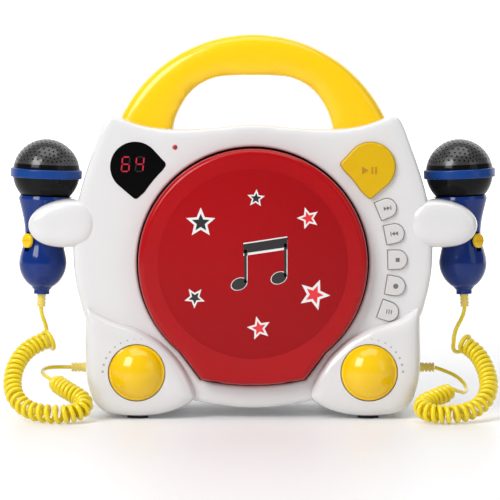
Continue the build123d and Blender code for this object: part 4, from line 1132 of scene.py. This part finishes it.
class KARAOKE_OT_holders(bpy.types.Operator):
    """Add the mitten-like holders that grip the microphones"""

    bl_idname = "karaoke.holders"
    bl_label = "Microphone Holders"

    def execute(self, context):
        sizes, mics = context.scene.karaoke_shell, context.scene.karaoke_mics
        white = bpy.data.materials["shell_white"]
        for side, hand in SIDES:
            points = HOLDER_OUTLINE if side > 0 else mirrored(HOLDER_OUTLINE)
            holder = block(f"mic_holder_soft_{hand}", smooth_path(points, 3, closed=True),
                           sizes.arm_front, sizes.arm_back)
            soften(holder, sizes.arm_voxel, sizes.arm_softness)
            fit(holder, *mirror_box(side, sizes.arm_inner, sizes.arm_outer, sizes.arm_front, sizes.arm_back,
                                    sizes.arm_base, sizes.arm_top))
            place = mic_matrix(context, side)
            grip = turned("grip_clearance", [(r * MM + mics.clearance, z * MM) for r, z in MIC_PROFILE], 48)
            cut(holder, placed(grip, place))
            outline = [(r + mics.clearance / MM, z) for r, z in MIC_PROFILE]
            way = block("way_out", outline + mirrored(outline), 0, WAY_OUT)
            cut(holder, placed(way, place @ Matrix.Rotation(-side * pi / 2, 4, "Z")))
            finish_shell(holder, white, f"mic_holder_{hand}", 40)
        return {"FINISHED"}


class KARAOKE_OT_handle(bpy.types.Operator):
    """Add the arched carry handle"""

    bl_idname = "karaoke.handle"
    bl_label = "Carry Handle"

    def execute(self, context):
        sizes = context.scene.karaoke_shell
        rise = handle_high.z / MM
        height = rise - HANDLE_FOOT_Z
        radius = (HANDLE_REACH**2 + height**2) / (2 * height)
        middle_z = rise - radius
        base = degrees(atan2(HANDLE_FOOT_Z - HANDLE_SUNK - middle_z, HANDLE_REACH))
        outside = arc(0, middle_z, radius + HANDLE_SPARE, base, 180 - base, 60)
        inside = [(x * HANDLE_NARROWER, z - HANDLE_LOWER) for x, z in smooth_path(HANDLE_INSIDE, 4)]
        handle = block("carry_handle_soft", outside + inside[::-1], handle_low.y, handle_high.y)
        with editing(handle, "DESELECT") as cells:
            for edge in cells.edges:
                edge.select = abs(edge.verts[0].co.y - edge.verts[1].co.y) < 0.001
            bmesh.update_edit_mesh(handle.data)
            bpy.ops.mesh.select_mode(type="EDGE")
            bpy.ops.mesh.bevel(offset=sizes.handle_round, segments=5)
        soften(handle, sizes.voxel, sizes.handle_softness)
        low, high = box_of(handle)
        fit(handle, (low[0], handle_low.y, low[2]),
            (high[0], handle_high.y, handle_high.z + sizes.handle_crown))
        smooth_shading(handle, 60)
        finish(handle, handle_yellow(context.scene.karaoke_colours),
               stands_for=("carry_handle",))
        return {"FINISHED"}


# ---------------------------------------------------------------- front
def printed(name, outline, surface, height, material, body):
    """A thin printed mark of this outline on an upright surface."""
    mark = block(name, outline, surface - height, surface + height)
    smooth_shading(mark, 30)
    return finish(mark, material, body=body)


def star(x, z, radius, turn, points=5, waist=0.45):
    """A star whose hollows lie at this share of its radius."""
    corners = []
    for i in range(2 * points):
        reach = radius if i % 2 == 0 else radius * waist
        angle = radians(turn + 180 * i / points)
        corners.append((x + reach * cos(angle), z + reach * sin(angle)))
    return corners


def turned_outline(outline, x, z, angle):
    """The same outline turned by this angle in degrees, and then moved there."""
    c, s = cos(radians(angle)), sin(radians(angle))
    return [(x + px * c - pz * s, z + px * s + pz * c) for px, pz in outline]


def oval(x, z, wide, high, angle, steps=40):
    return turned_outline([(wide * cos(2 * pi * i / steps), high * sin(2 * pi * i / steps))
                           for i in range(steps)], x, z, angle)


# the label's marks, in millimetres from the disc's centre
NOTES, NOTE_SIZE, NOTE_EDGE = [(-9, -13), (17, -9)], 15, 1.6
BEAM_LEFT, BEAM_RIGHT = (-6.2, 7, 13), (22.4, 11.2, 17.4)        # x, lower and upper edge
STARS = [(-34, 27, 10), (36, 30, 7.5), (-38, -22, 7), (40, -20, 10.5), (2, 43, 6), (4, -42, 8)]
STAR_CORE = 0.6


class KARAOKE_OT_lid(bpy.types.Operator):
    """Finish the red disc lid and print its label with notes and stars"""

    bl_idname = "karaoke.lid"
    bl_label = "Disc Lid"

    def execute(self, context):
        colours = context.scene.karaoke_colours
        height = context.scene.karaoke_front.print_height
        dress("lid", lid_red(colours))
        dress("lid_label", label_red(colours))
        white = print_ink("ink_white", (0.86, 0.86, 0.85))
        black = print_ink("ink_black", (0.01, 0.01, 0.011))
        bright = print_ink("ink_bright_red", (0.8, 0.02, 0.03))

        def mark(name, outline, ink, level=1):
            outline = [(x, disc_centre_z + z) for x, z in outline]
            printed(name, outline, lid_low.y, height * level, ink, "lid")

        for edge, ink, level in ((NOTE_EDGE, white, 1), (0, black, 2)):
            size = NOTE_SIZE + edge
            stem = rectangle(0.22 * size, 0.05 * size, 0.33 * size, 1.5 * size)
            for index, (x, foot) in enumerate(NOTES):
                mark(f"note_{index}_{level}_head", oval(x, foot, 0.34 * size, 0.24 * size, 24), ink, level)
                mark(f"note_{index}_{level}_stem", turned_outline(stem, x, foot, 0), ink, level)
            (left, left_low, left_high), (right, right_low, right_high) = BEAM_LEFT, BEAM_RIGHT
            beam = [(left, left_low - edge), (right, right_low - edge),
                    (right, right_high + edge / 2), (left, left_high + edge / 2)]
            mark(f"note_beam_{level}", beam, ink, level)
        for index, (x, z, radius) in enumerate(STARS):
            turn = 90 + 17 * index
            mark(f"star_{index}", star(x, z, radius, turn), white)
            core = star(x, z, radius * STAR_CORE, turn)
            mark(f"star_core_{index}", core, bright if index % 2 else black, 2)
        return {"FINISHED"}


# the display, in millimetres
DIGITS = [(-4.6, "6"), (4.6, "4")]            # place from the display's middle
SEGMENTS = {"4": "bcfg", "6": "acdefg"}       # the lit bars of each digit
DIGIT_WIDTH, DIGIT_HEIGHT, DIGIT_SLANT = 4.8, 9.4, 0.1
BAR_THICKNESS, BAR_GAP = 0.95, 0.35


class KARAOKE_OT_display(bpy.types.Operator):
    """Finish the display window and light its two digits"""

    bl_idname = "karaoke.display"
    bl_label = "Display"

    def execute(self, context):
        colours = context.scene.karaoke_colours
        height = context.scene.karaoke_front.print_height
        dress("display_window", window_smoke())
        dress("display_module", inner_black())
        dress("power_lamp", lamp_red())
        glow = digit_glow(colours)
        unlit = print_ink("digit_unlit", (0.006, 0.001, 0.001))
        side, tall = DIGIT_WIDTH / 2, DIGIT_HEIGHT
        bars = {"a": (0, tall / 2, 0), "d": (0, -tall / 2, 0), "g": (0, 0, 0),
                "f": (-side, tall / 4, 90), "b": (side, tall / 4, 90),
                "e": (-side, -tall / 4, 90), "c": (side, -tall / 4, 90)}
        end, half = side - BAR_GAP, BAR_THICKNESS / 2
        bar = [(-end, 0), (half - end, half), (end - half, half),
               (end, 0), (end - half, -half), (half - end, -half)]
        centre = middle_of("display_module")
        for place, digit in DIGITS:
            for segment, (x, z, turn) in bars.items():
                outline = [(centre.x + place + px + DIGIT_SLANT * pz, centre.z + pz)
                           for px, pz in turned_outline(bar, x, z, turn)]
                ink = glow if segment in SEGMENTS[digit] else unlit
                printed(f"digit_{digit}_{segment}", outline, window_face, height, ink,
                        "casing")
        return {"FINISHED"}


class KARAOKE_OT_buttons(bpy.types.Operator):
    """Finish the play button and the five keys, with their symbols"""

    bl_idname = "karaoke.buttons"
    bl_label = "Buttons"

    def execute(self, context):
        colours = context.scene.karaoke_colours
        height = context.scene.karaoke_front.print_height
        dress("play_button", play_yellow(colours))
        keys = key_grey(colours)
        ink = print_ink("ink_grey", (0.16, 0.16, 0.17))
        amber = print_ink("ink_amber", (0.5, 0.24, 0.004))
        centre = middle_of("play_button")
        marks = {"play": [(-5, -2.6), (-5, 2.6), (-0.6, 0)],
                 "pause_0": rectangle(1.2, -2.4, 2.4, 2.4),
                 "pause_1": rectangle(3.6, -2.4, 4.8, 2.4)}
        for name, outline in marks.items():
            printed(f"symbol_{name}", [(centre.x + x + 1, centre.z + z) for x, z in outline],
                    play_face, height, amber, "play_button")
        triangle = [(-1.1, -1.4), (-1.1, 1.4), (1.1, 0)]
        backwards = mirrored(triangle)
        bar = rectangle(-0.3, -1.4, 0.3, 1.4)
        square = rectangle(-1.3, -1.3, 1.3, 1.3)
        dot = oval(0, 0, 1.7, 1.7, 0, 24)
        symbols = [[(triangle, -1.1), (triangle, 1.0), (bar, 2.5)],
                   [(bar, -2.5), (backwards, -1.0), (backwards, 1.1)],
                   [(square, 0)], [(dot, 0)], [(bar, -1.5), (bar, 0), (bar, 1.5)]]
        for number, (angle, symbol) in enumerate(zip(KEY_ANGLES, symbols), start=1):
            node = f"key_{number}"
            dress(node, keys)
            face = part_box(node)[0].y
            x, z = KEY_ARC * cos(radians(angle)), disc_centre_z + KEY_ARC * sin(radians(angle))
            for part, (outline, shift) in enumerate(symbol):
                outline = turned_outline([(px + shift, pz) for px, pz in outline], x, z, angle * 0.4)
                printed(f"symbol_{node}_{part}", outline, face, height, ink, node)
        return {"FINISHED"}


SCALE_DOTS, SCALE_START, SCALE_STEP = 9, -8, 12       # the angles in degrees from straight up


class KARAOKE_OT_knobs(bpy.types.Operator):
    """Finish the volume knobs and print the scale round each"""

    bl_idname = "karaoke.knobs"
    bl_label = "Volume Knobs"

    def execute(self, context):
        yellow = knob_yellow(context.scene.karaoke_colours)
        front = context.scene.karaoke_front
        before = context.scene.karaoke_shell.foot_front - PAST
        ink = print_ink("ink_pale", (0.45, 0.45, 0.46))
        for side, hand in SIDES:
            dress("volume_knob" if side < 0 else "mic_volume_knob", yellow)
            target = bpy.data.objects[f"foot_front_{hand}"]
            for step in range(SCALE_DOTS):
                angle = radians(90 - side * (SCALE_START + SCALE_STEP * step))
                radius, size = front.scale_radius / MM, 0.35 + 0.07 * step
                x, z = side * knob_x + radius * cos(angle), knob_z + radius * sin(angle)
                dot = plate(f"scale_{hand}_{step}", circle(x, z, size, 12), before)
                modify(dot, "SHRINKWRAP", target=target, wrap_method="PROJECT", use_project_x=False,
                       use_project_y=True, use_project_z=False, use_negative_direction=True,
                       use_positive_direction=True, offset=0.00005)
                modify(dot, "SOLIDIFY", thickness=0.0001, offset=0)
                finish(dot, ink)
        return {"FINISHED"}


# ---------------------------------------------------------------- microphones
def perforated_dome(name, sizes):
    """The upper part of the head: a thin dome with a round hole at each corner of a fine net."""
    clear_selection()
    bpy.ops.mesh.primitive_ico_sphere_add(subdivisions=4, radius=sizes.head_radius)
    dome = named(name)
    with editing(dome):
        bpy.ops.mesh.bisect(plane_co=(0, 0, sizes.grille_edge), plane_no=(0, 0, 1), clear_inner=True)

    def holed(corner):
        return corner.co.z > sizes.lowest_hole and not corner.is_boundary

    with editing(dome, "DESELECT") as cells:
        holes = [corner.co.copy() for corner in cells.verts if holed(corner)]
        places = KDTree(len(holes))
        for index, hole in enumerate(holes):
            places.insert(hole, index)
        places.balance()
        pick(cells, dome, holed)
        bpy.ops.mesh.bevel(offset=sizes.hole_radius, offset_type="OFFSET", affect="VERTICES", segments=1)
    with editing(dome, "DESELECT"):
        bpy.ops.mesh.select_mode(type="FACE")
        for face in bmesh.from_edit_mesh(dome.data).faces:
            face.select = places.find(face.calc_center_median())[2] < sizes.hole_radius / 2
        bmesh.update_edit_mesh(dome.data)
        bpy.ops.mesh.delete(type="FACE")
    modify(dome, "SUBSURF", levels=2, render_levels=2)
    return modify(dome, "SOLIDIFY", thickness=sizes.grille_wall, offset=-1)


def head_bowl(name, sizes, rings=24):
    """The glossy lower part of the head, hollow inside."""
    low, high = asin(sizes.bowl_foot / sizes.head_radius), asin(sizes.bowl_rim / sizes.head_radius)
    angles = [low + (high - low) * i / rings for i in range(rings + 1)]
    outer, inner = sizes.head_radius, sizes.head_radius - sizes.bowl_wall
    return turned(name, [(outer * cos(a), outer * sin(a)) for a in angles]
                  + [(inner * cos(a), inner * sin(a)) for a in reversed(angles)], 72)


def foam_core(name, sizes):
    """The dark foam that shows through the holes."""
    clear_selection()
    radius = sizes.head_radius - sizes.foam_gap
    bpy.ops.mesh.primitive_uv_sphere_add(segments=48, ring_count=24, radius=radius)
    core = named(name)
    with editing(core):
        bpy.ops.mesh.bisect(plane_co=(0, 0, sizes.foam_foot), plane_no=(0, 0, 1), clear_inner=True,
                            use_fill=True)
    return core


def switch_cap(name, sizes):
    """The oval cap of a switch, with a thumb groove across its rounded face."""
    outline = oval(0, 0, sizes.switch_half_width / MM, sizes.switch_half_height / MM, 0, 36)
    cap = block(name, outline, -sizes.switch_face, -sizes.switch_underside)
    with editing(cap, "DESELECT") as cells:
        middle = -(sizes.switch_face + sizes.switch_underside) / 2
        pick(cells, cap, lambda corner: corner.co.y < middle)
        bpy.ops.mesh.bevel(offset=sizes.switch_round, segments=4)
    cut(cap, block("groove", oval(0, 0, 5, 0.45, 0, 24), -sizes.switch_face - PAST, -sizes.switch_groove))
    return cap


class KARAOKE_OT_microphones(bpy.types.Operator):
    """Add the perforated heads and finish the rest of the microphones"""

    bl_idname = "karaoke.microphones"
    bl_label = "Microphones"

    def execute(self, context):
        sizes = context.scene.karaoke_mics
        colours = context.scene.karaoke_colours
        grille, foam, glossy = grille_black(), grille_foam(), bowl_black()
        blue, band = grip_blue(colours), band_blue(colours)
        relief, yellow = relief_yellow(), bpy.data.materials["knob_yellow"]
        for side, hand in SIDES:
            body, place, stands_for = f"mic_{hand}", mic_matrix(context, side), (f"mic_head_{hand}",)

            dome = placed(perforated_dome(f"mic_grille_{hand}", sizes), place)
            finish(smooth_shading(dome, 30), grille, body=body,
                   stands_for=stands_for)
            bowl = placed(head_bowl(f"mic_bowl_{hand}", sizes), place)
            finish(smooth_shading(bowl, 40), glossy, body=body,
                   stands_for=stands_for)
            core = placed(foam_core(f"mic_foam_{hand}", sizes), place)
            finish(smooth_shading(core, 60), foam, body=body)

            switch_place = (place @ Matrix.Rotation(side * sizes.switch_turn, 4, "Z")
                            @ Matrix.Translation((0, 0, sizes.switch_z)))
            cap = placed(switch_cap(f"mic_switch_cap_{hand}", sizes), switch_place)
            finish(smooth_shading(cap, 35), yellow, body=f"mic_switch_{hand}")

            dress(f"mic_grip_{hand}", blue)
            dress(f"mic_band_{hand}", band)
            dress(f"mic_switch_{hand}", yellow)
            dress(f"mic_relief_{hand}", relief)
            dress(f"cord_relief_{hand}", relief)
        return {"FINISHED"}


# ---------------------------------------------------------------- inside and back
class KARAOKE_OT_inside(bpy.types.Operator):
    """Finish the disc drive, the boards, the speaker and the battery box"""

    bl_idname = "karaoke.inside"
    bl_label = "Inside and Back"

    def execute(self, context):
        colours = context.scene.karaoke_colours
        white = bpy.data.materials["shell_white"]
        black = inner_black()
        steel = drawn_metal("steel_drawn", (0.55, 0.55, 0.56), 0.3)
        can = drawn_metal("motor_can", (0.62, 0.62, 0.63), 0.36)
        brass = drawn_metal("contact_brass", (0.72, 0.58, 0.3), 0.34)
        grey, green = drive_grey(), board_green()
        dress("disc_bay", bay_dark_red())
        dress("battery_door", white)
        for node in ("lid_catch", "turntable", "dc_jack", "battery_box"):
            dress(node, black)
        for node in ("drive_chassis", "pickup_sled", "sled_gear", "volume_control", "mic_volume_control"):
            dress(node, grey)
        for node in ("hinge_pin", "guide_rods", "case_screws"):
            dress(node, steel)
        for node in ("spindle_motor", "sled_motor"):
            dress(node, can)
        for node in ("key_board", "main_board"):
            dress(node, green)
        dress("battery_contacts", brass)
        dress("speaker", cone_paper())
        dress("rubber_feet", pad_rubber())
        return {"FINISHED"}


# ---------------------------------------------------------------- panel and registration
OPERATORS = (
    KARAOKE_OT_stage, KARAOKE_OT_cords, KARAOKE_OT_casing, KARAOKE_OT_feet, KARAOKE_OT_holders,
    KARAOKE_OT_handle, KARAOKE_OT_lid, KARAOKE_OT_display, KARAOKE_OT_buttons, KARAOKE_OT_knobs,
    KARAOKE_OT_microphones, KARAOKE_OT_inside,
)
SETTINGS = {
    "karaoke_shell": ShellSizes, "karaoke_front": FrontSizes, "karaoke_mics": MicrophoneSizes,
    "karaoke_cords": CordSizes, "karaoke_colours": Colours, "karaoke_studio": StudioSettings,
}


class KARAOKE_PT_panel(bpy.types.Panel):
    bl_idname = "KARAOKE_PT_panel"
    bl_label = "Disc Player"
    bl_space_type = "VIEW_3D"
    bl_region_type = "UI"
    bl_category = "Disc Player"

    def draw(self, context):
        for operator in OPERATORS:
            self.layout.operator(operator.bl_idname)
        for name, group in SETTINGS.items():
            box = self.layout.box()
            for key in group.__annotations__:
                box.prop(getattr(context.scene, name), key)


def register():
    for group in SETTINGS.values():
        bpy.utils.register_class(group)
    for name, group in SETTINGS.items():
        setattr(bpy.types.Scene, name, PointerProperty(type=group))
    for operator in OPERATORS:
        bpy.utils.register_class(operator)
    bpy.utils.register_class(KARAOKE_PT_panel)


def unregister():
    bpy.utils.unregister_class(KARAOKE_PT_panel)
    for operator in reversed(OPERATORS):
        bpy.utils.unregister_class(operator)
    for name, group in SETTINGS.items():
        delattr(bpy.types.Scene, name)
        bpy.utils.unregister_class(group)


def main():
    register()
    for operator in OPERATORS:
        group, name = operator.bl_idname.split(".")
        getattr(getattr(bpy.ops, group), name)()


if __name__ == "__main__":
    main()
